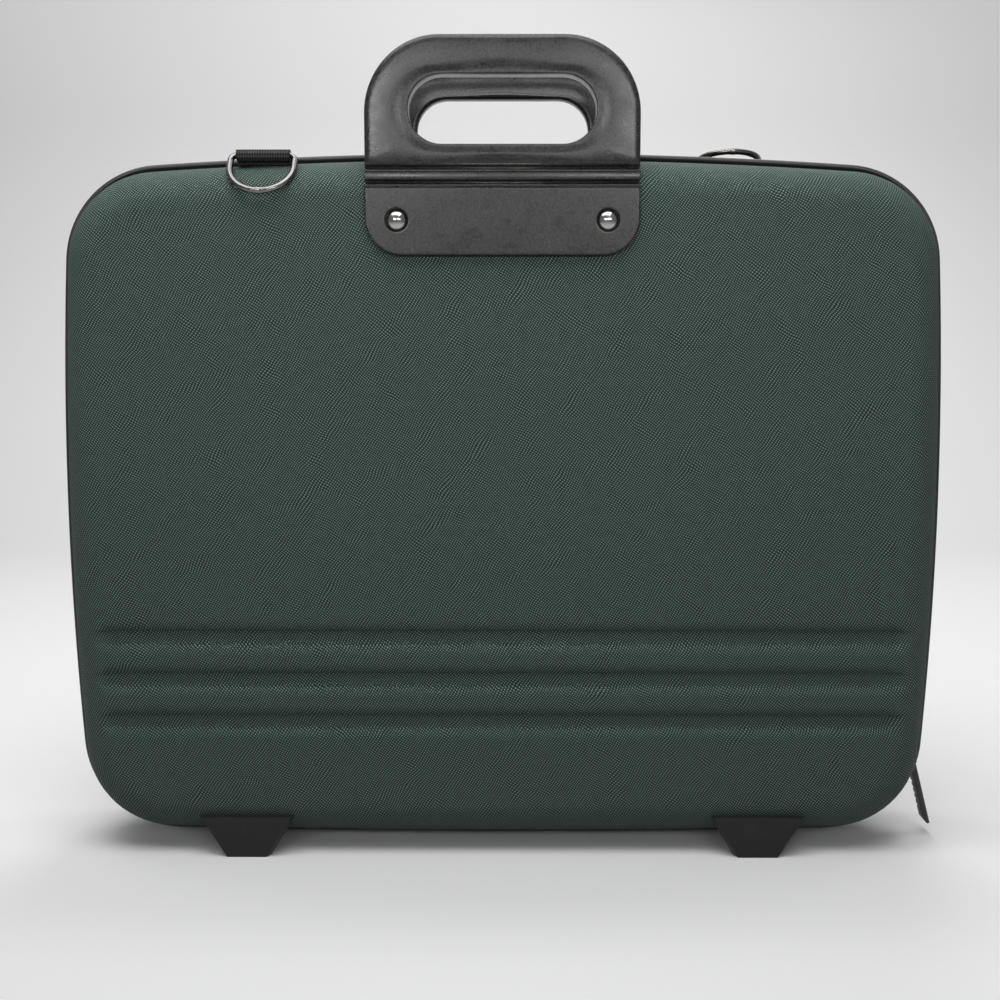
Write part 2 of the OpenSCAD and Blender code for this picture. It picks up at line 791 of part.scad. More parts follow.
module front_grip() {
    color("#5a5754") grip_half_ring();
}

module back_grip() {
    color("#5a5754") as_back() grip_half_ring();
}

// ---- Rivets: domed heads outside, shanks through plate, shell and washer, closed over the washer

rivet_dome = 2;
rivet_tail_d = 6.5;
rivet_tail_t = 1;
head_seat = plate_front - recess_depth;
washer_back = inner_face - seat_gap - washer_t;

module rivet() {
    dome_r = (rivet_dome ^ 2 + (rivet_head_d / 2) ^ 2) / (2 * rivet_dome);
    translate([0, 0, washer_back - seat_gap - rivet_tail_t])
        cylinder(d = rivet_tail_d, h = rivet_tail_t, $fn = 32);
    translate([0, 0, washer_back - seat_gap - rivet_tail_t / 2])
        cylinder(d = rivet_d, h = head_seat - washer_back + rivet_tail_t, $fn = 32);
    intersection() {
        translate([0, 0, head_seat + rivet_dome - dome_r]) sphere(r = dome_r, $fn = 48);
        translate([0, 0, head_seat]) cylinder(d = rivet_head_d, h = rivet_dome, $fn = 48);
    }
}

module rivets_half() {
    at_rivets() rivet();
}

module washers_half() {
    at_rivets() translate([0, 0, washer_back])
        difference() {
            cylinder(d = washer_d, h = washer_t, $fn = 48);
            translate([0, 0, -over])
                cylinder(d = rivet_d + 2 * pin_gap, h = washer_t + 2 * over, $fn = 32);
        }
}

module front_handle_rivets() {
    color("#c9c9c6") rivets_half();
}

module back_handle_rivets() {
    color("#c9c9c6") as_back() rivets_half();
}

module front_handle_washers() {
    color("#9b9b98") washers_half();
}

module back_handle_washers() {
    color("#9b9b98") as_back() washers_half();
}

// ---- Rings and their webbing: the bar turns in a roll of webbing caught in the rim's seam

ring_bar_z = top_z + ring_bar_rise;
roll_hole_r = ring_d / 2 + pin_gap * 2;
roll_r = roll_hole_r + webbing_t;
tail_low = top_at(ring_x - webbing_w / 2, 0) - rim_inset + seat_gap;
// Where the tail leaves the roll, as shares of the roll's radius
tail_back = 0.3;
tail_half = 0.75;

module webbing_half(x) {
    translate([x - webbing_w / 2, 0, 0])
        rotate([90, 0, 90]) linear_extrude(webbing_w)
            difference() {
                union() {
                    translate([-ring_bar_y, ring_bar_z]) circle(r = roll_r, $fn = 48);
                    polygon([
                        [-ring_bar_y + roll_r * tail_back, ring_bar_z + roll_r * tail_half],
                        [-ring_bar_y + roll_r * tail_back, ring_bar_z - roll_r * tail_half],
                        [-rim_y - seat_gap, tail_low],
                        [-rim_y - seat_gap, tail_low + 2 * webbing_t]
                    ]);
                }
                translate([-ring_bar_y, ring_bar_z]) circle(r = roll_hole_r, $fn = 36);
            }
}

// A ring with its bar along X through the origin and its bow reaching down to -Z
module d_ring() {
    bow_r = ring_w / 2;
    side_l = ring_l - bow_r - ring_bend_r;
    translate([-bow_r + ring_bend_r, 0, 0]) rotate([0, 90, 0])
        cylinder(d = ring_d, h = ring_w - 2 * ring_bend_r, $fn = 32);
    for (side = [0, 1])
        mirror([side, 0, 0]) {
            translate([bow_r - ring_bend_r, 0, -ring_bend_r]) rotate([90, 0, 0])
                rotate_extrude(angle = 90, $fn = 48)
                    translate([ring_bend_r, 0]) circle(d = ring_d, $fn = 32);
            translate([bow_r, 0, -ring_bend_r - side_l])
                cylinder(d = ring_d, h = side_l, $fn = 32);
        }
    translate([0, 0, -ring_bend_r - side_l]) rotate([90, 0, 0])
        rotate_extrude(angle = 180, start = 180, $fn = 96)
            translate([bow_r, 0]) circle(d = ring_d, $fn = 32);
}

module front_ring_webbing() {
    color("#121212") webbing_half(-ring_x);
}

module back_ring_webbing() {
    color("#121212") as_back() webbing_half(ring_x);
}

module front_ring() {
    color("#b9b9b6")
        translate([-ring_x, -ring_bar_y, ring_bar_z])
            rotate([front_ring_drop - 90, 0, 0]) d_ring();
}

module back_ring() {
    color("#b9b9b6")
        translate([ring_x, ring_bar_y, ring_bar_z])
            rotate([-90 - back_ring_rise, 0, 0]) d_ring();
}

// ---- Feet: hollow mouldings wrapped under the rounded lower edge

foot_front = shell_depth + foot_proud;
foot_turn_low = 10;
foot_turn_high = acos(1 - (foot_h - ground_gap - edge_inset) / edge_w);

// Side view of a foot, as distance from the middle plane and height
foot_side = concat(
    [[foot_heel_y, 0], [foot_front, 0], [foot_front, foot_h]],
    [for (k = [0 : 10]) let (a = foot_turn_high + (foot_turn_low - foot_turn_high) * k / 10)
        [turn_y + (edge_d + seat_gap) * sin(a),
         ground_gap + edge_inset + edge_w - (edge_w + seat_gap) * cos(a)]]
);

// Front outline of a foot, grown by a bevel at its slanted sides
function foot_outline(grow) = [
    [-foot_sole_w / 2 - grow, 0], [foot_sole_w / 2 + grow, 0],
    [foot_top_w / 2 + grow, foot_h], [-foot_top_w / 2 - grow, foot_h]
];

module foot_body() {
    rings = [
        for (s = [[foot_front, 0], [foot_front - 2 * foot_bevel, foot_bevel], [foot_heel_y, foot_bevel]])
            [for (p = foot_outline(s[1])) [p.x, -s[0], p.y]]
    ];
    polyhedron(
        points = [for (ring = rings) each ring],
        faces = concat([[0, 3, 2, 1]], band(4, 0, 4), band(8, 4, 4), [[8, 9, 10, 11]])
    );
}

module foot() {
    difference() {
        intersection() {
            foot_body();
            translate([-foot_top_w, 0, 0]) rotate([90, 0, 90]) linear_extrude(2 * foot_top_w)
                polygon([for (p = foot_side) [-p[0], p[1]]]);
        }
        translate([-foot_sole_w / 2 + foot_wall, -foot_front + foot_wall, foot_wall])
            cube([foot_sole_w - 2 * foot_wall, foot_front - foot_heel_y - 2 * foot_wall, foot_h]);
    }
}

boss_d = 7;
boss_l = 9;
boss_hole_l = 7;

module feet_half() {
    for (side = [-1, 1])
        translate([side * foot_x, 0, 0]) foot();
    intersection() {
        difference() {
            at_foot_screws() translate([0, 0, seat_gap]) cylinder(d = boss_d, h = boss_l, $fn = 36);
            at_foot_screws() cylinder(d = screw_d + 2 * pin_gap, h = boss_hole_l, $fn = 32);
        }
        translate([-case_w / 2, -foot_front + foot_wall / 2, foot_wall / 2])
            cube([case_w, foot_front, foot_h]);
    }
}

screw_head_t = 2.2;
// Room under the head, which bridges the hollow of the shell's rounded edge
screw_stand = 2;
screw_reach = 5;

module foot_screws_half() {
    at_foot_screws() {
        translate([0, 0, -shell_wall - screw_stand - screw_head_t])
            cylinder(d = screw_head_d, h = screw_head_t, $fn = 36);
        translate([0, 0, -shell_wall - screw_stand - screw_head_t / 2])
            cylinder(d = screw_d, h = shell_wall + screw_stand + screw_head_t / 2 + screw_reach, $fn = 32);
    }
}

module front_feet() {
    color("#3b3a3c") feet_half();
}

module back_feet() {
    color("#3b3a3c") as_back() feet_half();
}

module front_foot_screws() {
    color("#8d8d8a") foot_screws_half();
}

module back_foot_screws() {
    color("#8d8d8a") as_back() foot_screws_half();
}

// ---- Inside: two laptop straps in the back shell and a document pocket in the front one

strap_inset = edge_inset + shell_wall + seat_gap;
strap_low = bottom_at(strap_x + strap_w / 2, strap_inset);
strap_high = top_at(strap_x + strap_w / 2, strap_inset);
strap_flap = turn_y - strap_y;

module laptop_straps() {
    color("#191b1b")
        for (side = [-1, 1])
            translate([side * strap_x - strap_w / 2, strap_y, 0]) {
                translate([0, 0, strap_low]) cube([strap_w, strap_t, strap_high - strap_low]);
                for (z = [strap_low, strap_high - strap_t])
                    translate([0, 0, z]) cube([strap_w, strap_flap, strap_t]);
            }
}

fastener_h = 60;
fastener_t = 1.8;

module strap_fasteners() {
    color("#242626")
        for (side = [-1, 1])
            translate([side * strap_x - strap_w / 2, strap_y - seat_gap - fastener_t, 0])
                translate([0, 0, mid_z - fastener_h / 2]) cube([strap_w, fastener_t, fastener_h]);
}

pocket_back = inner_face - seat_gap;

module document_pocket() {
    color("#202423")
        translate([-pocket_w / 2, -pocket_back, pocket_z])
            difference() {
                cube([pocket_w, pocket_d, pocket_h]);
                translate([pocket_t, -over, pocket_t])
                    cube([pocket_w - 2 * pocket_t, pocket_d + over - pocket_t, pocket_h]);
            }
}

back_shell();
back_piping();
back_zip_tape();
back_zip_coil();
zip_tail();
hinge_strip();
back_handle_plate();
back_handle_rivets();
back_handle_washers();
back_handle_band();
back_grip();
back_ring_webbing();
back_ring();
back_feet();
back_foot_screws();
laptop_straps();
strap_fasteners();
front_shell();
front_piping();
front_zip_tape();
front_zip_coil();
front_handle_plate();
front_handle_rivets();
front_handle_washers();
front_handle_band();
front_grip();
front_ring_webbing();
front_ring();
front_feet();
front_foot_screws();
document_pocket();
side_slider();
side_pull();
bottom_slider();
bottom_pull();
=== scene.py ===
import math

import bmesh
import bpy
import numpy as np
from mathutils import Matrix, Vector
from mathutils.geometry import delaunay_2d_cdt


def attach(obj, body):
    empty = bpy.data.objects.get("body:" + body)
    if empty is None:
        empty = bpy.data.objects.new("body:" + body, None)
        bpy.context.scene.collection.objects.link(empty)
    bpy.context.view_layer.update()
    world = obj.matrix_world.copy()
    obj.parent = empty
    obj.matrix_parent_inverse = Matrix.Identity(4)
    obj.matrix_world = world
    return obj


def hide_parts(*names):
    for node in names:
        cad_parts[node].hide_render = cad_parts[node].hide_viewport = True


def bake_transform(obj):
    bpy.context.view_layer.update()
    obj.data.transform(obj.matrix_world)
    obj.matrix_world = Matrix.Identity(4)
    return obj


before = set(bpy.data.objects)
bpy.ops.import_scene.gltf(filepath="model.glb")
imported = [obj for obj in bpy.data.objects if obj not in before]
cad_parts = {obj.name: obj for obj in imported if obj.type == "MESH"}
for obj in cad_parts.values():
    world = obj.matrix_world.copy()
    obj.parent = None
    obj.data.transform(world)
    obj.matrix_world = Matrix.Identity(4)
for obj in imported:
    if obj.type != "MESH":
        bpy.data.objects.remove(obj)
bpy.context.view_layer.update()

# ---- Studio ----
# The case stands on a pale card that sweeps up behind it. A soft lamp hangs above and in front, one
# each lights the card and the back, and two long soft boxes stand behind the camera.

camera_data = bpy.data.cameras.new("camera")
camera_data.sensor_width = 36
camera_data.lens = 48.26
camera = bpy.data.objects.new("camera", camera_data)
camera.location = (0.0017, -0.6669, 0.2526)
camera.rotation_euler = (math.radians(90) - 0.1209, 0, 0.0044)
bpy.context.collection.objects.link(camera)
bpy.context.scene.camera = camera
bpy.context.scene.view_settings.view_transform = "Standard"


def node(made, kind, inputs=None, **settings):
    """Adds a shader node: values and links go into its sockets by name or number. A texture
    with no place of its own is laid through the piece in metres."""
    new = made.node_tree.nodes.new(kind)
    inputs = dict(inputs or {})
    if "Tex" in kind and "TexCoord" not in kind and "Vector" not in inputs:
        inputs["Vector"] = node(made, "ShaderNodeTexCoord").outputs["Object"]
    for key, value in settings.items():
        setattr(new, key, value)
    for socket, value in inputs.items():
        if isinstance(value, bpy.types.NodeSocket):
            made.node_tree.links.new(value, new.inputs[socket])
        else:
            new.inputs[socket].default_value = value
    return new


def material(name, colour, roughness, **sockets):
    """A plain finish; its texture is added to the shader's sockets afterwards."""
    made = bpy.data.materials.new(name)
    made.use_nodes = True
    shader = made.node_tree.nodes["Principled BSDF"]
    shader.inputs["Base Color"].default_value = (*colour, 1)
    shader.inputs["Roughness"].default_value = roughness
    for key, value in sockets.items():
        shader.inputs[key.replace("_", " ")].default_value = value
    return made


def wire(made, value, socket):
    made.node_tree.links.new(value, made.node_tree.nodes["Principled BSDF"].inputs[socket])


def maths(made, operation, *values):
    return node(made, "ShaderNodeMath", dict(enumerate(values)), operation=operation).outputs[0]


def mixed(made, share, dark, light, blend="MIX"):
    """Two colours mixed by a share; either may come from another node."""
    ends = [(*end, 1) if isinstance(end, tuple) else end for end in (dark, light)]
    return node(made, "ShaderNodeMix", {0: share, 6: ends[0], 7: ends[1]},
                data_type="RGBA", blend_type=blend).outputs[2]


def coloured(made, *mix):
    wire(made, mixed(made, *mix), "Base Color")


card = material("pale card", (0.9, 0.9, 0.9), 0.9)
path = node(card, "ShaderNodeLightPath")
seen = path.outputs["Is Camera Ray"]
for kind in ("Is Glossy Ray", "Is Transmission Ray"):
    seen = maths(card, "MAXIMUM", seen, path.outputs[kind])
coloured(card, seen, (0.18, 0.18, 0.18), (0.95, 0.95, 0.95))
sweep_r = 0.6
sweep_profile = [(-2.5, 0), (0.9, 0)]
sweep_profile += [
    (0.9 + sweep_r * math.sin(a), sweep_r * (1 - math.cos(a)))
    for a in np.radians(range(5, 91, 5))
]
sweep_profile.append((0.9 + sweep_r, 3))
card_mesh = bpy.data.meshes.new("sweep")
card_mesh.from_pydata(
    [(x, y, z) for y, z in sweep_profile for x in (-3, 3)],
    [],
    [(2 * k, 2 * k + 1, 2 * k + 3, 2 * k + 2) for k in range(len(sweep_profile) - 1)],
)
card_mesh.materials.append(card)
card_mesh.shade_smooth()
sweep = bpy.data.objects.new("sweep", card_mesh)
bpy.context.collection.objects.link(sweep)


def lamp(name, place, towards, width, height, power, spread=180):
    data = bpy.data.lights.new(name, "AREA")
    data.shape = "RECTANGLE"
    data.spread = math.radians(spread)
    data.size, data.size_y = width, height
    data.energy = power
    made = bpy.data.objects.new(name, data)
    made.location = place
    made.rotation_euler = (Vector(towards) - Vector(place)).to_track_quat("-Z", "Y").to_euler()
    bpy.context.collection.objects.link(made)


lamp("top", (-0.08, -0.27, 0.95), (0, 0, 0.3), 0.9, 0.5, 5.0)
lamp("back", (0.2, 1.0, 1.3), (0, 0, 0.2), 0.8, 0.8, 6)
lamp("backdrop", (0, 0.3, 1.5), (0, 1.5, 0.5), 2.2, 0.5, 13)
lamp("left box", (-0.40, -1.3, 0.61), (0, 0, 0.42), 0.54, 0.15, 0.42, 55)
lamp("right box", (0.40, -1.3, 0.61), (0, 0, 0.42), 0.54, 0.15, 0.38, 55)
world = bpy.data.worlds.new("tent")
world.use_nodes = True
world.node_tree.nodes["Background"].inputs["Color"].default_value = (1, 1, 1, 1)
world.node_tree.nodes["Background"].inputs["Strength"].default_value = 0.2
bpy.context.scene.world = world

# ---- Covered shells ----
# Each half is a tray moulded in stiff foam, 5 mm thick, with a dull green nylon weave drawn over
# it and bonded. Three channels are pressed into its face. Dark lining cloth covers the inside.

MM = 0.001
half_w, half_h, middle_z = 215, 168.6, 171.6
side_bow, top_bow, bottom_bow, corner_r = 1905, 2500, 6470, 47.5
side_cx = half_w - side_bow
top_cz, bottom_cz = half_h - top_bow, bottom_bow - half_h


def corner_centre(long_bow, long_cz, up):
    """Centre of the right-hand corner that runs smoothly into the side's bow and a long bow."""
    gap = math.hypot(side_cx, long_cz)
    side_reach, long_reach = side_bow - corner_r, long_bow - corner_r
    along = (side_reach**2 - long_reach**2 + gap**2) / (2 * gap)
    across = up * math.sqrt(side_reach**2 - along**2)
    return (side_cx + (along * -side_cx - across * long_cz) / gap,
            (along * long_cz - across * side_cx) / gap)


upper_x, upper_z = corner_centre(top_bow, top_cz, 1)
lower_x, lower_z = corner_centre(bottom_bow, bottom_cz, -1)
side_up = math.atan2(upper_z, upper_x - side_cx)
side_down = math.atan2(-lower_z, lower_x - side_cx)
top_end = math.atan2(upper_z - top_cz, upper_x)
bottom_end = math.atan2(bottom_cz - lower_z, lower_x)


def rim_points(arcs, inset):
    """Points of the rim, moved inwards, from rows of centre x, centre z, radius and angle."""
    cx, cz, r, a = np.asarray(arcs, float).T
    return np.column_stack([cx + (r - inset) * np.cos(a), middle_z + cz + (r - inset) * np.sin(a)])


def arc_rows(cx, cz, r, start, end, steps, closed=False):
    angles = np.linspace(start, end, steps + 1)
    return [(cx, cz, r, a) for a in (angles if closed else angles[:-1])]


face_inset, edge_inset, edge_w, edge_d = 22, 4, 18, 20.5
turn_y, shell_depth, rim_y, rim_inset, wall = 14, 34.5, 11.4, 3.4, 5
channel_heights = [67 + 20.8 * k for k in range(3)]
channel_deep, floor_half, shoulder = 3, 3.3, 5.4
channel_over, channel_fade = 7, 12


def channel_fall(z, beyond):
    """Depth of the channels at a height, running out beyond the edge of the flat face."""
    away = np.min([abs(z - c) for c in channel_heights], axis=0) - floor_half
    share = np.clip(away / shoulder, 0, 1)
    fall = 1 - np.sqrt(1 - (1 - share) ** 2)
    run = np.clip((channel_over - beyond) / channel_fade, 0, 1)
    return channel_deep * fall * (0.5 - 0.5 * np.cos(run * math.pi))


shoulder_shares = [0.001, 0.012, 0.035, 0.07, 0.12, 0.19, 0.28, 0.38, 0.5, 0.64, 0.8, 1]
side_heights = []
for c in channel_heights:
    steps = [floor_half + share * shoulder for share in shoulder_shares]
    side_heights += [c - s for s in reversed(steps)]
    side_heights += [c - 0.99 * floor_half, c - 1.5, c, c + 1.5, c + 0.99 * floor_half]
    side_heights += [c + s for s in steps]
side_top = middle_z + (side_bow - face_inset) * math.sin(side_up)
side_heights += list(np.linspace(side_heights[-1], side_top, 24)[1:-1])
right_edge = arc_rows(lower_x, lower_z, corner_r, -bottom_end, -side_down, 14)
right_edge += [
    (side_cx, 0, side_bow, math.asin((z - middle_z) / (side_bow - face_inset)))
    for z in [side_heights[0] - 2.5, *side_heights]
]
right_edge += arc_rows(upper_x, upper_z, corner_r, side_up, top_end, 14, closed=True)

near_end = [1, 0.997, 0.992, 0.986, 0.98, 0.973, 0.966, 0.958, 0.95, 0.94, 0.925, 0.9]
column_shares = [-s for s in near_end] + list(np.linspace(-0.86, 0.86, 25)) + near_end[::-1]
rows, cols = len(right_edge), len(column_shares)


def long_row(long_cz, long_bow, half, up):
    """The top or bottom row's points, left to right, at the columns."""
    return [(0, long_cz, long_bow, up * math.acos(s * half / (long_bow - face_inset)))
            for s in column_shares]


face_corner = corner_r - face_inset
bottom_row = long_row(bottom_cz, bottom_bow, lower_x + face_corner * math.cos(bottom_end), -1)
top_row = long_row(top_cz, top_bow, upper_x + face_corner * math.cos(top_end), 1)
boundary = (
    bottom_row[:-1]
    + right_edge[:-1]
    + top_row[:0:-1]
    + [(-cx, cz, r, math.pi - a) for cx, cz, r, a in right_edge[:0:-1]]
)
ring_n = len(boundary)


def rings(section, run=boundary):
    """Parallel rings along a run of the rim, from pairs of inset and distance from the middle."""
    return np.array([np.insert(rim_points(run, inset), 1, -y, axis=1) for inset, y in section])


def band_faces(count, across, first=0, loop=False):
    """Quads between neighbouring closed rings of points; a loop joins the last to the first."""
    return [
        (first + k * across + i, first + (k + 1) % count * across + i,
         first + (k + 1) % count * across + (i + 1) % across, first + k * across + (i + 1) % across)
        for k in range(count if loop else count - 1) for i in range(across)
    ]


def quads(numbers):
    """Quads between the neighbours in a grid of point numbers."""
    corners = numbers[:-1, :-1], numbers[:-1, 1:], numbers[1:, 1:], numbers[1:, :-1]
    return [tuple(face) for face in np.stack(corners, -1).reshape(-1, 4).tolist()]


def turned_over(faces):
    """The same faces seen from their other side, each from the same first point."""
    return [face[:1] + face[:0:-1] for face in faces]


def make_object(name, points, faces, finish, uv=None, back=False):
    """A smooth mesh object from points in millimetres; back mirrors it over the middle plane."""
    points = np.asarray(points, float) * MM
    if back:
        points = points * (1, -1, 1)
        faces = [f[::-1] for f in faces]
    mesh = bpy.data.meshes.new(name)
    mesh.from_pydata(points.tolist(), [], faces)
    mesh.materials.append(finish)
    if uv is not None:
        corners = np.zeros(len(mesh.loops), int)
        mesh.loops.foreach_get("vertex_index", corners)
        layer = mesh.uv_layers.new(name="cut")
        layer.data.foreach_set("uv", (np.asarray(uv, float) * MM)[corners].ravel())
    mesh.shade_smooth()
    made = bpy.data.objects.new(name, mesh)
    bpy.context.collection.objects.link(made)
    return made


def noise(made, scale, detail=2, roughness=0.5, **inputs):
    """Cloudy noise through a piece."""
    inputs.update(Scale=scale, Detail=detail, Roughness=roughness)
    return node(made, "ShaderNodeTexNoise", inputs).outputs["Fac"]


def ranged(made, value, *ends):
    """A value carried over from one range to another: low and high, then low and high."""
    return node(made, "ShaderNodeMapRange", dict(enumerate((value, *ends)))).outputs[0]


def roughened(made, value, *ends):
    wire(made, ranged(made, value, *ends), "Roughness")


def bumped(made, height, strength, distance):
    bump = node(made, "ShaderNodeBump",
                {"Height": height, "Strength": strength, "Distance": distance})
    wire(made, bump.outputs[0], "Normal")


def weave(made, pitch, light, dark, depth, turn=0, sharp=1, gloss=0.12, wander=0):
    """Plain-woven threads over and under each other, coloured from their height as painted light
    and shade: crests painted lighter as if lit, hollows between threads painted darker as if
    shaded.
    """
    uneven = 0.12
    cut = node(made, "ShaderNodeUVMap", uv_map="cut").outputs[0]
    drift = node(made, "ShaderNodeTexNoise", {"Vector": cut, "Scale": 45, "Detail": 2})
    pushed = node(made, "ShaderNodeVectorMath",
                  {0: drift.outputs["Color"], 1: (wander, wander, 0), 2: cut},
                  operation="MULTIPLY_ADD").outputs[0]
    turned = node(made, "ShaderNodeVectorRotate", {"Vector": pushed, "Angle": turn},
                  rotation_type="Z_AXIS").outputs[0]
    scaled = node(made, "ShaderNodeVectorMath", {0: turned, 1: (1 / pitch[0], 1 / pitch[1], 1)},
                  operation="MULTIPLY").outputs[0]
    parts = node(made, "ShaderNodeSeparateXYZ", {0: scaled}).outputs
    ridge = [
        maths(made, "ABSOLUTE", maths(made, "SINE", maths(made, "MULTIPLY", parts[axis], math.pi)))
        for axis in (0, 1)
    ]
    over = node(made, "ShaderNodeTexChecker", {"Vector": scaled, "Scale": 1}).outputs["Fac"]
    thread = [
        maths(made, "MULTIPLY", maths(made, "MULTIPLY_ADD", other, 0.6, 0.4), own)
        for own, other in (ridge, ridge[::-1])
    ]
    height = node(made, "ShaderNodeMix", {0: over, 2: thread[0], 3: thread[1]},
                  data_type="FLOAT").outputs[0]
    # Painted light and shade: the crests take the light colour, the hollows between threads the
    # dark one
    relief_light_and_shade = mixed(made, maths(made, "POWER", height, sharp), dark, light)
    blotch = noise(made, 260, 4, 0.6, Vector=cut)
    coloured(made, 1, relief_light_and_shade, ranged(made, blotch, 0.3, 0.7, 1 - uneven, 1 + uneven), "MULTIPLY")
    bumped(made, height, 0.7, depth)
    roughened(made, height, 0, 1, 0.9, 0.9 - gloss)
    return made


# The light and dark colours of each weave are painted light and shade on its threads' relief
green = weave(material("green weave", (0.04, 0.09, 0.07), 0.8), (0.0012, 0.00105),
              (0.235, 0.360, 0.312), (0.003, 0.009, 0.007), 0.00025, math.radians(33), 3.4,
              wander=0.006)
lining = weave(material("lining cloth", (0.02, 0.02, 0.02), 0.9), (0.0006, 0.0006),
               (0.030, 0.033, 0.033), (0.010, 0.011, 0.011), 0.00008)

edge_line = rim_points(boundary, face_inset)
outward = np.column_stack([np.cos([e[3] for e in boundary]), np.sin([e[3] for e in boundary])])
edge_turn = np.linspace(0, math.pi / 2, 19)
cover_section = [(rim_inset + 2, rim_y + 0.05), (rim_inset + 1.1, rim_y),
                 (rim_inset + 0.75, rim_y + 0.5)]
cover_section += [
    (edge_inset + edge_w * (1 - math.cos(a)), turn_y + edge_d * math.sin(a)) for a in edge_turn
]


def lengths_along(line):
    """Distance from a line's first point to each of its points."""
    steps = np.linalg.norm(np.diff(np.array(line), axis=0), axis=1)
    return np.concatenate([[0], np.cumsum(steps)])


reach = lengths_along(cover_section[::-1])[::-1]
cover_rings = rings(cover_section)
for ring, length, a in zip(cover_rings[3:], reach[3:], edge_turn):
    fall = channel_fall(edge_line[:, 1], length)
    lean = np.array([math.cos(a) / edge_w, math.sin(a) / edge_d])
    lean /= np.linalg.norm(lean)
    ring[:, 0] -= fall * lean[0] * outward[:, 0]
    ring[:, 1] += fall * lean[1]
last_ring = (len(cover_section) - 1) * ring_n


face_edge = rim_points(right_edge, face_inset)
cells = []
for x_end, z in face_edge[1:-1]:
    x = np.array(column_shares[1:-1]) * x_end
    fall = channel_fall(np.full(len(x), z), abs(x) - x_end)
    cells.append(np.column_stack([x, -shell_depth + fall, np.full(len(x), z)]))
cells = np.concatenate(cells)
# The flat face's grid of points; the last ring is its border
numbers = np.zeros((rows, cols), int)
numbers[1:-1, 1:-1] = np.arange(len(cells)).reshape(rows - 2, cols - 2) + ring_n
numbers[0] = range(cols)
numbers[:, -1] = range(cols - 1, cols + rows - 1)
numbers[-1, ::-1] = range(cols + rows - 2, 2 * cols + rows - 2)
numbers[1:, 0] = range(ring_n - 1, ring_n - rows, -1)
cover_faces = [f[::-1] for f in band_faces(len(cover_section), ring_n)] + quads(last_ring + numbers)
# The cloth's own coordinates: flat over the face, then on down the rounded edge
cover_uv = np.concatenate(
    [edge_line + outward * length for length in reach] + [cells[:, [0, 2]]]
)
cover_points = np.concatenate([cover_rings.reshape(-1, 3), cells])

lining_section = [(rim_inset + 2, rim_y + 0.05), (rim_inset + wall, rim_y + 0.1)]
lining_section += [
    (edge_inset + wall + (edge_w - wall) * (1 - math.cos(a)),
     turn_y + (edge_d - wall) * math.sin(a)) for a in edge_turn[::2]
]
lining_rings = rings(lining_section)
lining_faces = band_faces(len(lining_section), ring_n)
lining_floor = range((len(lining_section) - 1) * ring_n, len(lining_section) * ring_n)
lining_faces.append(tuple(lining_floor)[::-1])
lining_points = lining_rings.reshape(-1, 3)
lining_uv = lining_points[:, [0, 2]] + lining_points[:, [1, 1]]

cases = (("front", "front_case", False), ("back", "back_case", True))
for side, body, back in cases:
    cover = make_object(f"{side}_cover", cover_points, cover_faces, green, cover_uv, back)
    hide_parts(f"{side}_shell")
    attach(cover, body)
    inner = make_object(f"{side}_lining", lining_points, lining_faces, lining, lining_uv, back)
    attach(inner, body)

# ---- Piping ----
# A thin cord covered in smooth, satin dark grey PVC, sewn along the rim of each half. Its flange
# lies in the gap between the cord and the covered shell; its near-black colour is painted shade for
# that seam.

satin_pvc = material("grey piping", (0.036, 0.033, 0.032), 0.3)
bumped(satin_pvc, noise(satin_pvc, 900, 3), 0.25, 0.0001)
roughened(satin_pvc, noise(satin_pvc, 60, 5, 0.65), 0.35, 0.7, 0.28, 0.46)
# Near black: painted shade for the seam between the cord and the shell, which lies in shadow
flange_in_seam_shade = material("flange in painted seam shade", (0.004, 0.004, 0.004), 0.95, Specular_IOR_Level=0.1)
bumped(flange_in_seam_shade, noise(flange_in_seam_shade, 2500), 0.5, 0.0001)

upper_run = (
    arc_rows(side_cx, 0, side_bow, -side_down, side_up, 24)
    + arc_rows(upper_x, upper_z, corner_r, side_up, top_end, 20)
    + arc_rows(0, top_cz, top_bow, top_end, math.pi - top_end, 30)
    + arc_rows(-upper_x, upper_z, corner_r, math.pi - top_end, math.pi - side_up, 20)
    + arc_rows(-side_cx, 0, side_bow, math.pi - side_up, math.pi + side_down, 24)
)
rim_run = (
    upper_run
    + arc_rows(-lower_x, lower_z, corner_r, math.pi + side_down, math.pi + bottom_end, 20)
    + arc_rows(0, bottom_cz, bottom_bow, math.pi + bottom_end, 2 * math.pi - bottom_end, 24)
    + arc_rows(lower_x, lower_z, corner_r, -bottom_end, -side_down, 20)
)


def swept(run, section, closed=True):
    """Sweeps pairs of inset and distance from the middle along a run of the rim."""
    points = rings(section, run).transpose(1, 0, 2)
    n, m = len(run), len(section)
    faces = band_faces(n, m, loop=closed)
    if not closed:
        faces += [tuple(range(m))[::-1], tuple(range((n - 1) * m, n * m))]
    return points.reshape(-1, 3), [f[::-1] for f in faces]


def turns(count):
    """Even angles once round a circle."""
    return np.linspace(0, 2 * math.pi, count + 1)[:-1]


cord_r, cord_y = 1.3, 9
cord_section = [
    (cord_r * (1 - math.cos(a)), cord_y + cord_r * math.sin(a)) for a in turns(16)
]
flange_section = [(1.6, 9.2), (2.4, 10.2), (3.9, 11.35), (5.2, 11.35), (4.6, 10.4), (3.6, 9.2),
                  (2.4, 8.6)]
for side, body, back in cases:
    cord_cover = make_object(f"{side}_piping_cord", *swept(rim_run, cord_section), satin_pvc,
                             back=back)
    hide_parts(f"{side}_piping")
    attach(cord_cover, body)
    flange = make_object(f"{side}_piping_flange_seam_shade", *swept(rim_run, flange_section), flange_in_seam_shade,
                         back=back)
    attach(flange, body)

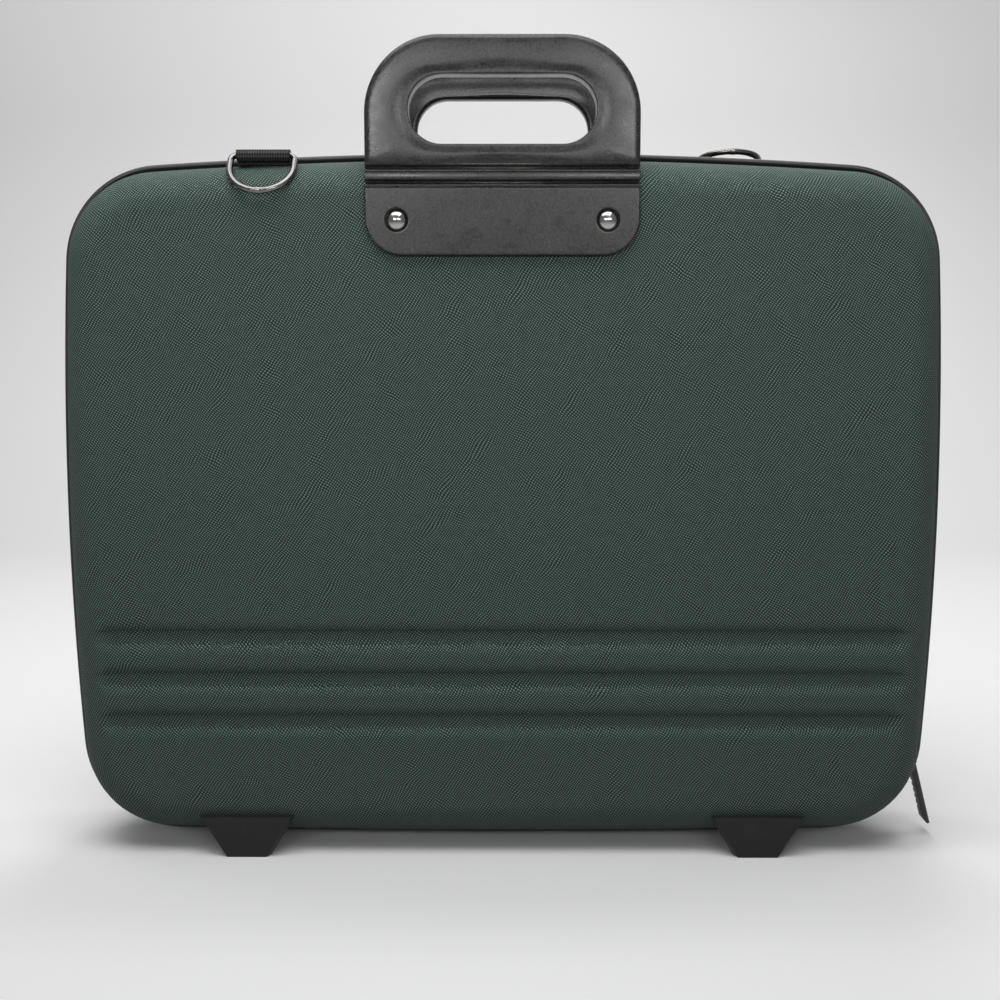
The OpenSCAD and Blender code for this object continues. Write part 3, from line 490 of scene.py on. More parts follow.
# ---- Zip: tapes and coils ----
# Each half has a woven black tape, glued into the rim behind the piping, with a nylon coil sewn to
# its edge. The coils mesh along the middle. Below the end of the zip a short tail stays closed.

tape_weave = weave(material("zip tape", (0.012, 0.012, 0.012), 0.9), (0.0008, 0.0005),
                   (0.022, 0.022, 0.023), (0.005, 0.005, 0.005), 0.00012)
nylon = material("zip coil", (0.014, 0.014, 0.015), 0.35)
smear = noise(nylon, 700)
roughened(nylon, smear, 0, 1, 0.25, 0.5)
bumped(nylon, smear, 0.2, 0.00005)

zip_end = math.radians(60)
zip_run = (
    arc_rows(lower_x, lower_z, corner_r, -zip_end, -side_down, 10)
    + upper_run
    + arc_rows(-lower_x, lower_z, corner_r, math.pi + side_down, math.pi + zip_end, 10, closed=True)
)
tape_inset, tape_t, coil_w, coil_t = 4.3, 0.8, 5.4, 1.6
coil_middle = tape_inset - 0.1 - coil_t / 2
coil_wire, coil_pitch = 0.36, 1.6


def strip(run, inset, thickness, near, far, across):
    """A flat strip along a run of the rim, with its own lengthwise coordinates."""
    edges = np.linspace(near, far, across + 1)
    section = [(inset, y) for y in edges] + [(inset + thickness, y) for y in edges[::-1]]
    points, faces = swept(run, section, closed=False)
    far_along = lengths_along(rim_points(run, inset))
    uv = np.column_stack([np.repeat(far_along, len(section)), -points[:, 1]])
    return points, faces, uv


def by_length(run, spacing):
    """The same run with its rows at even distances."""
    lengths = lengths_along(rim_points(run, 3))
    places = np.arange(0, lengths[-1], spacing)
    table = np.array(run, float)
    # Places between two rows of different arcs keep the first row's arc
    index = np.clip(np.searchsorted(lengths, places, side="right") - 1, 0, len(run) - 2)
    rows_at = table[index]
    rows_at[:, 3] += (places - lengths[index]) / (rows_at[:, 2] - 3)
    return rows_at


def coil(run, middle_y, half, phase):
    """A coiled nylon wire along a run: one flat turn for each tooth."""
    turn_steps, wire_steps = 8, 5
    places = by_length(run, coil_pitch / turn_steps)
    turn = phase + 2 * math.pi * np.arange(len(places)) / turn_steps
    height = coil_t / 2 - coil_wire
    insets = coil_middle + height * np.cos(turn)
    ys = middle_y + (half - coil_wire) * np.sin(turn)
    cx, cz, r, a = places.T
    points = []
    for b in turns(wire_steps):
        inset = insets - coil_wire * math.cos(b) * np.cos(turn)
        y = ys + coil_wire * math.cos(b) * np.sin(turn)
        along = a + coil_wire * math.sin(b) / r
        points.append(np.column_stack([cx + (r - inset) * np.cos(along), -y,
                                       middle_z + cz + (r - inset) * np.sin(along)]))
    points = np.stack(points, axis=1)
    n = len(places)
    faces = turned_over(band_faces(n, wire_steps))
    faces += [tuple(range(wire_steps))[::-1], tuple(range((n - 1) * wire_steps, n * wire_steps))]
    return points.reshape(-1, 3), faces


for side, body, back in cases:
    points, faces, uv = strip(zip_run, tape_inset, tape_t, 0.3, 11.1, 1)
    tape = make_object(f"{side}_zip_cloth", points, faces, tape_weave, uv, back)
    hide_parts(f"{side}_zip_tape")
    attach(tape, body)
    points, faces = coil(zip_run, coil_w / 4 + 0.1, coil_w / 4, math.pi if back else 0)
    teeth = make_object(f"{side}_coil_wire", points, faces, nylon, back=back)
    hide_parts(f"{side}_zip_coil")
    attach(teeth, body)

hinge_end = math.radians(61.5)
tail_run = (
    arc_rows(0, bottom_cz, bottom_bow, 1.5 * math.pi + 151 / bottom_bow,
             2 * math.pi - bottom_end, 3)
    + arc_rows(lower_x, lower_z, corner_r, -bottom_end, -hinge_end, 4, closed=True)
)
halves = [coil(tail_run, sign * coil_w / 4, coil_w / 4, phase) for sign, phase in ((1, 0), (-1, 3))]
count = len(halves[0][0])
tail = make_object("closed_tail", np.concatenate([h[0] for h in halves]),
                   halves[0][1] + [tuple(count + i for i in f) for f in halves[1][1]], nylon)
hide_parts("zip_tail")
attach(tail, "back_case")

# ---- Fabric hinge ----
# A strip of strong black cloth along the bottom and a little round both lower corners, sewn to
# both rims. The case opens about it, so it bends along its middle. Its end under the zip's tail
# and the parked slider is sewn to the back half only.

free_from = 1.5 * math.pi + 126 / bottom_bow
for name, run in (
    ("hinge_cloth",
     arc_rows(-lower_x, lower_z, corner_r, math.pi + hinge_end, math.pi + bottom_end, 6)
     + arc_rows(0, bottom_cz, bottom_bow, math.pi + bottom_end, free_from, 24, closed=True)),
    ("hinge_end_flap",
     arc_rows(0, bottom_cz, bottom_bow, free_from + 0.3 / bottom_bow, 2 * math.pi - bottom_end, 6)
     + arc_rows(lower_x, lower_z, corner_r, -bottom_end, -hinge_end, 6, closed=True)),
):
    points, faces, uv = strip(run, tape_inset, tape_t, -11.1, 11.1, 18)
    hinge = make_object(name, points, faces, tape_weave, uv)
    if name == "hinge_cloth":
        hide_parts("hinge_strip")
        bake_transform(hinge)
    else:
        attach(hinge, "back_case")

# ---- Feet ----
# Four feet of dark grey moulded plastic, hooked under the rounded lower edge and screwed from
# inside. They narrow towards the sole, with bevelled sides and a satin skin.

foot_plastic = material("foot plastic", (0.019, 0.018, 0.020), 0.42, Specular_IOR_Level=0.3)
bumped(foot_plastic, noise(foot_plastic, 1500, 3, 0.6), 0.3, 0.00008)
scuff = noise(foot_plastic, 90, 6, 0.7)
roughened(foot_plastic, scuff, 0.35, 0.7, 0.34, 0.55)
coloured(foot_plastic, ranged(foot_plastic, scuff, 0.55, 0.8),
         (0.017, 0.017, 0.018), (0.033, 0.032, 0.034))


def settle(made, width, segments=3):
    """Eases the edges of a piece and keeps the result as its mesh."""
    ease = made.modifiers.new("ease", "BEVEL")
    ease.width = width * MM
    ease.segments = segments
    ease.limit_method = "ANGLE"
    ease.angle_limit = math.radians(30)
    seen = made.evaluated_get(bpy.context.evaluated_depsgraph_get())
    kept = bpy.data.meshes.new_from_object(seen)
    made.modifiers.clear()
    made.data = kept
    return made


def joined(parts):
    """One list of points and one of faces from several."""
    points, faces, start = [], [], 0
    for some_points, some_faces in parts:
        some_points = np.asarray(some_points, float)
        points.append(some_points)
        faces += [tuple(start + i for i in f) for f in some_faces]
        start += len(some_points)
    return np.concatenate(points), faces


foot_x, foot_h, sole_half, top_half, bevel = 125, 20, 9.5, 21.5, 2
proud_y, heel_y, heel_h = 37.2, 17, 7.08
fit_gap, flat_z = 0.2, 3 + edge_inset + edge_w


def foot(middle):
    """Rings of six points up the foot; its back follows the rounded edge of the shell."""
    levels = [0, 1.5, 3, 4.5, 6, heel_h, 8, 9, 10, 11.5, 13, 14.5, 16, 17.5, 19, foot_h]
    points = []
    for z in levels:
        half = sole_half + (top_half - sole_half) * z / foot_h
        if z < heel_h:
            y_back = heel_y + 0.6 * z / heel_h
        else:
            turn = math.acos((flat_z - z) / (edge_w + fit_gap))
            y_back = turn_y + (edge_d + fit_gap) * math.sin(turn)
        y_bevel = max(proud_y - 2 * bevel, y_back)
        grow = bevel * (proud_y - y_bevel) / (2 * bevel)
        right, left = middle + half + grow, middle - half - grow
        points += [
            (middle - half, -proud_y, z), (middle + half, -proud_y, z), (right, -y_bevel, z),
            (right, -y_back + 0.01, z), (left, -y_back + 0.01, z), (left, -y_bevel, z),
        ]
    faces = [f[::-1] for f in band_faces(len(levels), 6)]
    faces += [tuple(range(6))[::-1], tuple(range(6 * len(levels) - 6, 6 * len(levels)))]
    return points, faces


for side, body, back in cases:
    feet = make_object(f"{side}_moulded_feet", *joined([foot(-foot_x), foot(foot_x)]),
                       foot_plastic, back=back)
    settle(feet, 0.45)
    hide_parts(f"{side}_feet")
    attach(feet, body)

# ---- Handles ----
# Each handle is one soft moulding in warm dark grey, finely speckled and satin. A plate is riveted
# to the shell; two grooves with thin webs let the narrow band and the grip above it fold outwards.

soft_grey = material("handle moulding", (0.088, 0.082, 0.078), 0.5)
speckle = noise(soft_grey, 900, 3, 0.7)
cloud = noise(soft_grey, 110, 6, 0.65)
grain = mixed(soft_grey, ranged(soft_grey, speckle, 0.36, 0.66),
              (0.008, 0.008, 0.008), (0.052, 0.050, 0.048))
coloured(soft_grey, 1, grain, ranged(soft_grey, cloud, 0.3, 0.7, 0.85, 1.15), "MULTIPLY")
roughened(soft_grey, cloud, 0.3, 0.7, 0.24, 0.34)
bumped(soft_grey, speckle, 0.3, 0.0001)


def closed(made):
    """Turns the faces of a closed piece outwards."""
    shape = bmesh.new()
    shape.from_mesh(made.data)
    bmesh.ops.recalc_face_normals(shape, faces=shape.faces)
    shape.to_mesh(made.data)
    shape.free()
    made.data.shade_smooth()
    return made


def bar(x, y, z):
    """A plain bar between two values each of x, distance in front of the middle, and z."""
    points = [(x[i], -y[j], z[k]) for i in (0, 1) for j in (0, 1) for k in (0, 1)]
    return points, [(0, 1, 3, 2), (4, 6, 7, 5), (0, 4, 5, 1), (2, 3, 7, 6), (0, 2, 6, 4),
                    (1, 5, 7, 3)]


def arc_xz(cx, cz, r, start, end, steps):
    return [(cx + r * math.cos(a), cz + r * math.sin(a))
            for a in np.radians(np.linspace(start, end, steps + 1))]


handle_half, handle_back, handle_front = 63.5, 34.7, 37.9
plate_low, plate_high = 290.3, 322.25
band_low, band_high = 324.55, 328.85
rivet_x, rivet_z = 48.9, 306.2
lip_drop, lip_w, lip_depth = 1.35, 0.75, 0.7
ease_r, recess_r, recess_depth = 0.7, 5.4, 2


def plate_outline(inset):
    """The plate's edge, moved inwards: large lower corners and small upper ones."""
    low_r, high_r = 17, 1.0
    left, right = -handle_half, handle_half
    top = plate_high - lip_drop
    return (
        arc_xz(left + low_r, plate_low + low_r, low_r - inset, 180, 270, 14)
        + arc_xz(right - low_r, plate_low + low_r, low_r - inset, 270, 360, 14)
        + arc_xz(right - high_r, top - high_r, high_r - inset, 0, 90, 4)
        + arc_xz(left + high_r, top - high_r, high_r - inset, 90, 180, 4)
    )


def handle_plate():
    """The plate with eased edges and a round recess for each rivet."""
    rim = [(0, handle_back), (0, handle_front - ease_r)]
    rim += [(ease_r * (1 - math.cos(a)), handle_front - ease_r * (1 - math.sin(a)))
            for a in np.radians((22.5, 45, 67.5, 90))]
    rim.append((ease_r + 0.25, handle_front))
    n = len(plate_outline(0))
    points = [(x, -y, z) for inset, y in rim for x, z in plate_outline(inset)]
    faces = band_faces(len(rim), n) + [tuple(range(n))]
    loop = list(range(len(points) - n, len(points)))
    edges = [(loop[i], loop[(i + 1) % n]) for i in range(n)]
    flat = loop[:]
    hole_r = recess_r + 0.8
    dish = [(hole_r, 0), (recess_r + 0.3, 0), (recess_r + 0.1, 0.05), (recess_r, 0.25),
            (recess_r, recess_depth - 0.15), (recess_r - 0.15, recess_depth), (2.2, recess_depth)]
    turn_steps = 36
    for x in (-rivet_x, rivet_x):
        start = len(points)
        points += [
            (x + r * math.cos(a), -handle_front + d, rivet_z + r * math.sin(a))
            for r, d in dish for a in turns(turn_steps)
        ]
        faces += band_faces(len(dish), turn_steps, start)
        faces.append(tuple(range(len(points) - turn_steps, len(points))))
        flat += range(start, start + turn_steps)
        edges += [(start + i, start + (i + 1) % turn_steps) for i in range(turn_steps)]
    place = {point: i for i, point in enumerate(flat)}
    verts, _, triangles, sources, *_ = delaunay_2d_cdt(
        [Vector((points[i][0], points[i][2])) for i in flat],
        [(place[a], place[b]) for a, b in edges], [], 1, 1e-6)
    for triangle in triangles:
        middle = sum((verts[i] for i in triangle), Vector((0, 0))) / 3
        if all((middle - Vector((x, rivet_z))).length > hole_r for x in (-rivet_x, rivet_x)):
            faces.append(tuple(flat[sources[i][0]] for i in triangle))
    return points, faces


def lip(top):
    """The fine line and lip moulded along an upper edge."""
    return [
        bar((-handle_half, handle_half), (handle_back, handle_front - lip_depth),
            (top - lip_drop - 0.3, top)),
        bar((-handle_half, handle_half), (handle_back + 1, handle_front + 0.2), (top - lip_w, top)),
    ]


def web(low, high):
    """The thin web in the bottom of a groove, dished between the two thick parts it joins."""
    middle, half = (low + high) / 2, (high - low) / 2
    web_t, dish, hidden = 1, 1.4, 0.8
    front = [(handle_back + web_t + dish, low - hidden)]
    for u in np.linspace(-1, 1, 11):
        front.append((handle_back + web_t + dish * (1 - math.sqrt(1 - u * u)), middle + half * u))
    front.append((handle_back + web_t + dish, high + hidden))
    back = [(handle_back + 0.05, z) for y, z in front[::-1]]
    section = front + back
    half_x = handle_half - 0.25
    points = [(x, -y, z) for x in (-half_x, half_x) for y, z in section]
    n, m = len(section), len(front)
    faces = band_faces(2, n)
    for start in (0, n):
        faces += [(start + k, start + k + 1, start + n - 2 - k, start + n - 1 - k)
                  for k in range(m - 1)]
    return points, faces


grip_low, grip_high, grip_r = 331.15, 389.7, 35
hole_z, hole_half_w, hole_half_h = 356.3, 43.4, 15.6
collar_depth, collar_wall, border_wall, border_rise = 10.5, 3, 2.4, 14


def hole_edge(point):
    """Edge of the finger hole in the direction of a point from the hole's middle."""
    u = point / np.linalg.norm(point)
    a, r = hole_half_w - hole_half_h, hole_half_h
    flat = r / max(0.001, abs(u[1]))
    c = a * abs(u[0])
    if abs(u[0]) * flat <= a:
        return u * flat
    return u * (c + math.sqrt(c * c - a * a + r * r))


def grip():
    """A ring of channel section: rolled edge round the finger hole, turned-in border outside."""
    cx, cz = handle_half - grip_r, grip_high - hole_z - grip_r
    foot_z = grip_low - hole_z
    edge = [(handle_half, z) for z in np.linspace(foot_z, cz, 9)[:-1]]
    edge += arc_xz(cx, cz, grip_r, 0, 90, 20)
    edge += [(x, cz + grip_r) for x in np.linspace(cx, -cx, 12)[1:-1]]
    edge += arc_xz(-cx, cz, grip_r, 90, 180, 20)
    edge += [(-handle_half, z) for z in np.linspace(cz, foot_z, 9)[1:]]
    edge += [(x, foot_z) for x in np.linspace(-handle_half, handle_half, 34)[1:-1]]
    by_hole = [(0, 4), (0, 1.2), (0.08, 0.95), (0.3, 0.72), (0.7, 0.66), (1.3, 0.68), (2.6, 0.62),
               (4.2, 0.4), (6, 0.14), (8, 0.02)]
    by_border = [(4.6, 0.12), (2.8, 0.28), (1.5, 0.6), (0.65, 1.05), (0.15, 1.7), (0, 2.5)]
    points = []
    for p in np.array(edge):
        h = hole_edge(p)
        span = np.linalg.norm(p - h)
        rise = min(1, max(0, (p[1] - foot_z) / border_rise))
        border = 3.2 + 4.8 * rise
        inner, outer = min(1, 0.5 * span / 8), min(1, 0.45 * span / 4.6)
        section = [(0, collar_depth)] + [(d * inner, y) for d, y in by_hole]
        section += [(span - d * outer, y) for d, y in by_border]
        section += [(span, border - 0.25), (span - 0.3, border), (span - border_wall, border),
                    (span - border_wall - 0.3, 3.5), (span - border_wall - 0.8, 3.2),
                    (collar_wall + 0.6, 3.2), (collar_wall, 3.8), (collar_wall, collar_depth)]
        for d, y in section:
            q = h + (p - h) * d / span
            points.append((q[0], -handle_front + y, hole_z + q[1]))
    return points, band_faces(len(edge), len(section), loop=True)


for side, body, back in cases:
    band_body, grip_body = f"{side}_handle_band", f"{side}_grip"
    band = bar((-handle_half, handle_half), (handle_back, handle_front),
               (band_low, band_high - lip_drop))
    for name, shape, ease, rides_on, shows in (
        ("plate", handle_plate(), 0, body, f"{side}_handle_plate"),
        ("plate_lip", joined(lip(plate_high)), 0.35, body, None),
        ("band", joined([band, *lip(band_high)]), 0.35, band_body, band_body),
        ("hand_grip", grip(), 0, grip_body, grip_body),
    ):
        made = closed(make_object(f"{side}_{name}", *shape, soft_grey, back=back))
        if ease:
            settle(made, ease)
        if shows:
            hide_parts(shows)
        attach(made, rides_on)
    for name, low, high, a, b in (
        ("lower", plate_high, band_low, body, band_body),
        ("upper", band_high, grip_low, band_body, grip_body),
    ):
        bend = closed(make_object(f"{side}_{name}_web", *web(low, high), soft_grey, back=back))
        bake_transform(bend)

# ---- Rivets and washers ----
# Two bright nickel-plated rivets hold each plate. Their domes lie in the recesses and their tails
# are closed over steel washers inside the shell.

nickel = material("bright nickel", (0.46, 0.45, 0.43), 0.16, Metallic=1.0)
swirl = noise(nickel, 500, 5, 0.7)
roughened(nickel, swirl, 0.3, 0.75, 0.1, 0.3)
bumped(nickel, swirl, 0.12, 0.00006)
steel = material("plated steel", (0.42, 0.42, 0.41), 0.4, Metallic=1.0)
zinc = node(steel, "ShaderNodeTexVoronoi", {"Scale": 600}).outputs["Distance"]
roughened(steel, zinc, 0, 1, 0.3, 0.55)
bumped(steel, zinc, 0.15, 0.00008)


def tube_faces(count, across):
    """The faces of a row of rings, closed by a flat face at both ends."""
    last = (count - 1) * across
    return band_faces(count, across) + [tuple(range(across)), tuple(range(last, last + across))]


def turned(profile, ring=False, steps=40):
    """A solid of revolution in both rivet places; profile is pairs of radius and distance."""
    faces = band_faces(len(profile), steps, loop=True) if ring else tube_faces(len(profile), steps)
    return joined([
        ([(x + r * math.cos(a), -y, rivet_z + r * math.sin(a)) for r, y in profile
          for a in turns(steps)], faces)
        for x in (-rivet_x, rivet_x)
    ])


dome_top, dome_r, head_r, head_seat = 38.8, 6.06, 4.5, 35.9
rivet_profile = [(r, dome_top - dome_r + math.sqrt(dome_r**2 - r**2))
                 for r in (0.05, 0.6, 1.2, 1.8, 2.4, 3.0, 3.5, 3.9, 4.2)]
rivet_profile += [(head_r, 36.9), (4.6, 36.75), (4.55, head_seat), (2, head_seat), (2, 27.95),
                  (3.1, 27.85), (3.25, 27.6), (3.2, 27.1), (2.8, 26.92), (0.05, 26.9)]
washer_profile = [(2.05, 28.15), (2.2, 28.1), (7.8, 28.1), (8, 28.25), (8, 29.15), (7.8, 29.3),
                  (2.2, 29.3), (2.05, 29.2)]
for side, body, back in cases:
    for name, node_name, profile, ring, finish, finish_slot in (
        ("rivets", f"{side}_handle_rivets", rivet_profile, False, nickel, "bright_rivet"),
        ("washers", f"{side}_handle_washers", washer_profile, True, steel, "plated_steel"),
    ):
        made = closed(make_object(f"{side}_turned_{name}", *turned(profile, ring), finish,
                                  back=back))
        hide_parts(node_name)
        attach(made, body)

# ---- Strap rings and their webbing ----
# A D-shaped ring of 3 mm plated wire hangs in a roll of black webbing at each end of the top edge.
# The webbing is folded round the ring's straight side, and its tail is caught in the rim's seam.

ring_x, ring_bar_y, ring_bar_z = 112, 24, 337.2
ring_half, ring_reach, ring_wire, ring_bend = 15, 23, 1.5, 3
plated = material("plated wire", (0.50, 0.49, 0.47), 0.2, Metallic=1.0)
drawn = noise(plated, 350, 6, 0.7)
roughened(plated, drawn, 0.3, 0.75, 0.12, 0.34)
coloured(plated, drawn, (0.13, 0.125, 0.12), (0.30, 0.29, 0.28))
bumped(plated, drawn, 0.08, 0.00005)


def d_ring():
    """Bent wire with its bar along X through the origin; the weld swells its bow's middle."""
    side_l = ring_reach - ring_half - ring_bend
    low = -ring_bend - side_l
    inner = ring_half - ring_bend
    line = [(x, 0) for x in np.linspace(-inner, inner, 10)[:-1]]
    line += arc_xz(inner, -ring_bend, ring_bend, 90, 0, 8)
    line += [(ring_half, z) for z in np.linspace(-ring_bend, low, 4)[1:-1]]
    line += arc_xz(0, low, ring_half, 0, -180, 48)
    line += [(-ring_half, z) for z in np.linspace(low, -ring_bend, 4)[1:-1]]
    line += arc_xz(-inner, -ring_bend, ring_bend, 180, 90, 8)[:-1]
    line = np.array(line)
    n, m = len(line), 14
    points = []
    for i, (x, z) in enumerate(line):
        along = line[(i + 1) % n] - line[i - 1]
        out = np.array([-along[1], along[0]]) / np.linalg.norm(along)
        weld = 0.22 * math.exp(-((x / 1.1) ** 2)) if z < low else 0
        r = ring_wire + weld
        for a in turns(m):
            reach_out = r * math.cos(a)
            points.append((x + reach_out * out[0], r * math.sin(a), z + reach_out * out[1]))
    return np.array(points), band_faces(n, m, loop=True)


def tipped(points, degrees):
    """Turned about X."""
    a = math.radians(degrees)
    return points @ np.array([[1, 0, 0], [0, math.cos(a), -math.sin(a)],
                              [0, math.sin(a), math.cos(a)]]).T


for side, x, tip in (("front", -ring_x, 50 - 90), ("back", ring_x, -90 - 13)):
    points, faces = d_ring()
    points = tipped(points, tip)
    points += (x, -ring_bar_y if side == "front" else ring_bar_y, ring_bar_z)
    bow = closed(make_object(f"{side}_bent_ring", points, faces, plated))
    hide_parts(f"{side}_ring")
    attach(bow, f"{side}_ring")

# The grey flecks on its rib crests are painted highlights; the webbing itself is black
webbing_black = weave(material("black webbing", (0.012, 0.012, 0.013), 0.85), (0.0021, 0.0012),
                      (0.095, 0.093, 0.092), (0.002, 0.002, 0.002), 0.0004, sharp=3.5, gloss=0.3)
thread_black = material("thread", (0.02, 0.02, 0.02), 0.6)
ply = node(thread_black, "ShaderNodeTexWave", {"Scale": 900, "Distortion": 2}).outputs["Fac"]
bumped(thread_black, ply, 0.5, 0.00008)
roughened(thread_black, ply, 0, 1, 0.5, 0.7)

webbing_half, roll_outer, roll_inner = 12.5, 2.7, 1.62
seam_y, seam_low = 11.7, 335.02


def two_plies(x, outer, inner, columns, thin):
    """Webbing between two lines of pairs of y and z, thinned at its columns, with its own
    coordinates."""
    n, m = len(outer), len(columns)
    points, uv = [], []
    for own, other in ((outer, inner), (inner, outer)):
        for p, q, far in zip(own, other, lengths_along(outer)):
            for u, share in zip(columns, thin):
                points.append((x + u, *((a + b + (a - b) * share) / 2 for a, b in zip(p, q))))
                uv.append((far, u))
    grid = np.arange(len(points)).reshape(2, n, m)
    faces = []
    for sheet in (*grid, grid[:, :, 0], grid[:, :, -1], grid[:, 0], grid[:, -1]):
        faces += quads(sheet)
    return points, faces, uv


def webbing_loop(x):
    """Two plies of webbing that part round the ring's bar."""
    seam_mid, ply_t = seam_low + 1.1, roll_outer - roll_inner
    upper = math.radians(62)
    turn = np.linspace(upper, 2 * math.pi - upper, 26)
    outer = [(seam_y, seam_mid + ply_t), (seam_y + 3, seam_mid + ply_t + 0.3)]
    inner = [(seam_y, seam_mid + 0.05), (seam_y + 3, seam_mid + 0.2)]
    for line, r in ((outer, roll_outer), (inner, roll_inner)):
        line += [(ring_bar_y - r * math.cos(a), ring_bar_z + r * math.sin(a)) for a in turn]
    # The lower ply sags onto the shell under the roll, so its black fills the gap there as painted
    # shade
    outer += [(22.6, 333.05), (21.5, 332.95), (19, 333.45), (16, 333.9), (seam_y, 334.2)]
    inner += [(21.8, 334.3), (21, 334.1), (19, 334.5), (16, 334.95), (seam_y, 335.2)]
    outer, inner = ([(-y, z) for y, z in line] for line in (outer, inner))
    return two_plies(x, outer, inner, np.linspace(-webbing_half, webbing_half, 13), [1] * 13)


def stitches(centres, along, up, length=2.2, width=0.55):
    """Short plump stitches that lie on a surface."""
    along, up = np.array(along, float), np.array(up, float)
    across = np.cross(up, along)
    parts = []
    for centre in np.array(centres, float):
        points = []
        for share, swell in ((-1, 0.25), (-0.7, 0.8), (0, 1), (0.7, 0.8), (1, 0.25)):
            sink = -0.25 * share * share
            for a in turns(8):
                points.append(centre + along * share * length / 2
                              + across * math.cos(a) * swell * width / 2
                              + up * (math.sin(a) * swell * width / 2 + sink * width))
        parts.append((points, tube_faces(5, 8)))
    return joined(parts)


for side, body, back in cases:
    x = ring_x if back else -ring_x
    points, faces, uv = webbing_loop(x)
    roll = closed(make_object(f"{side}_webbing_loop", points, faces, webbing_black, uv, back))
    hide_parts(f"{side}_ring_webbing")
    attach(roll, body)
    row = [(x + u, -18.6, 338.85) for u in np.arange(-11.2, 11.3, 2.8)]
    seam = closed(make_object(f"{side}_webbing_stitches", *stitches(row, (1, 0, 0), (0, 0, 1)),
                              thread_black, back=back))
    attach(seam, body)

# ---- Inside: laptop straps ----
# Two straps of black webbing cross the back half, sewn under the lining at both ends. A patch of
# hook-and-loop on each closes it over the laptop.

strap_x, strap_half, strap_y, strap_t, strap_inset = 95, 12.5, 5, 1.4, 9.25


def long_edge_z(x, inset, top):
    """Height of the top or bottom of the rim at a distance from the middle."""
    if top:
        return middle_z + top_cz + math.sqrt((top_bow - inset) ** 2 - x**2)
    return middle_z + bottom_cz - math.sqrt((bottom_bow - inset) ** 2 - x**2)


def laptop_strap(x):
    """Webbing with both ends turned back flat under the lining."""
    low, high = (long_edge_z(abs(x) + strap_half, strap_inset, top) for top in (False, True))

    def ply(y, r, low_end, high_end):
        return (
            [(turn_y, low_end)] + arc_xz(y + r, low_end + r, r, 270, 180, 5)
            + [(y, z) for z in np.linspace(low + 12, high - 12, 30)]
            + arc_xz(y + r, high_end - r, r, 180, 90, 5) + [(turn_y, high_end)]
        )

    half = strap_half
    return two_plies(x, ply(strap_y, 1.6, low, high),
                     ply(strap_y + strap_t, 0.2, low + strap_t, high - strap_t),
                     [-half, -half + 0.5, -6, 0, 6, half - 0.5, half], [0.5, 1, 1, 1, 1, 1, 0.5])


made = [laptop_strap(-strap_x), laptop_strap(strap_x)]
straps = closed(make_object("sewn_laptop_straps", *joined([part[:2] for part in made]),
                            webbing_black, np.concatenate([part[2] for part in made])))
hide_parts("laptop_straps")
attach(straps, "back_case")

hook_loop = material("hook and loop", (0.016, 0.017, 0.017), 0.95)
pile = node(hook_loop, "ShaderNodeTexVoronoi", {"Scale": 1400}).outputs["Distance"]
coloured(hook_loop, pile, (0.045, 0.046, 0.047), (0.006, 0.006, 0.006))
bumped(hook_loop, pile, 0.9, 0.0004)

patch_low, patch_high, patch_near, patch_far = middle_z - 30, middle_z + 30, 3.0, 4.78
patches, rows_of_stitches = [], []
for x in (-strap_x, strap_x):
    for near, far, trim in ((patch_near, patch_near + 0.95, 1.0), (patch_near + 1.0, patch_far, 0)):
        patches.append(bar((x - strap_half + trim, x + strap_half - trim), (-near, -far),
                           (patch_low + trim, patch_high - trim)))
    for top, inwards in ((False, 16), (True, -16)):
        z = long_edge_z(strap_x + strap_half, strap_inset, top) + inwards
        rows_of_stitches += [(x + u, strap_y - 0.05, z + step)
                             for step in (0, 4) for u in np.arange(-9.8, 9.9, 2.8)]
patch = closed(make_object("strap_patches", *joined(patches), hook_loop))
settle(patch, 0.3, segments=2)
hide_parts("strap_fasteners")
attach(patch, "back_case")
strap_seams = closed(make_object(
    "strap_stitches", *stitches(rows_of_stitches, (1, 0, 0), (0, -1, 0)), thread_black))
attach(strap_seams, "back_case")

# ---- Inside: document pocket ----
# A pocket of lining cloth is stretched over the inside of the front half, sewn along three sides.
# Its open top edge is bound with a narrow band and dips a little in the middle.

pocket_half_w, pocket_low, pocket_high = 155, 34, 224
pocket_seam_y, pocket_deep, pocket_dip = 29.25, 11.6, 2.5


def pocket_place(u, v):
    """A place on the pocket's cloth: u from -1 to 1 across, v from 0 at the bottom to 1."""
    rise = (1 - abs(u) ** 10) * (1 - (1 - v) ** 12)
    slack = 0.5 * math.sin(5 * u + 1) * math.sin(3.5 * v) * rise
    y = pocket_seam_y - (pocket_deep - 0.8) * max(0, rise) ** 0.5 - slack
    z = pocket_low + (pocket_high - pocket_low) * v - pocket_dip * (1 - u * u) * v**4
    return pocket_half_w * u, -y, z


near_seam = 0.12 * np.linspace(0, 1, 12)[:-1] ** 2
across = np.concatenate([near_seam - 1, np.linspace(-0.88, 0.88, 30), 1 - near_seam[::-1]])
upward = np.concatenate([near_seam, np.linspace(0.12, 1, 26)])
points = [pocket_place(u, v) for v in upward for u in across]
n = len(across)
faces = turned_over(quads(np.arange(len(points)).reshape(-1, n)))
pocket = make_object("pocket_cloth", points, faces, lining, [(p[0], p[2]) for p in points])
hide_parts("document_pocket")
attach(pocket, "front_case")

edge_points = np.array([pocket_place(u, 1) for u in across])
band_section = [(-0.7, -2.5), (0.1, -2.9), (0.7, -2.5), (0.75, 0), (0.4, 0.6), (-0.4, 0.6),
                (-0.75, 0)]
points = [(p[0], min(p[1] + dy, -17.4), p[2] + dz) for p in edge_points for dy, dz in band_section]
m = len(band_section)
faces = turned_over(band_faces(n, m))
faces += [tuple(range(m)), tuple(range((n - 1) * m, n * m))]
binding = closed(make_object("pocket_binding", points, faces, webbing_black,
                             [(p[0], p[2]) for p in points]))
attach(binding, "front_case")

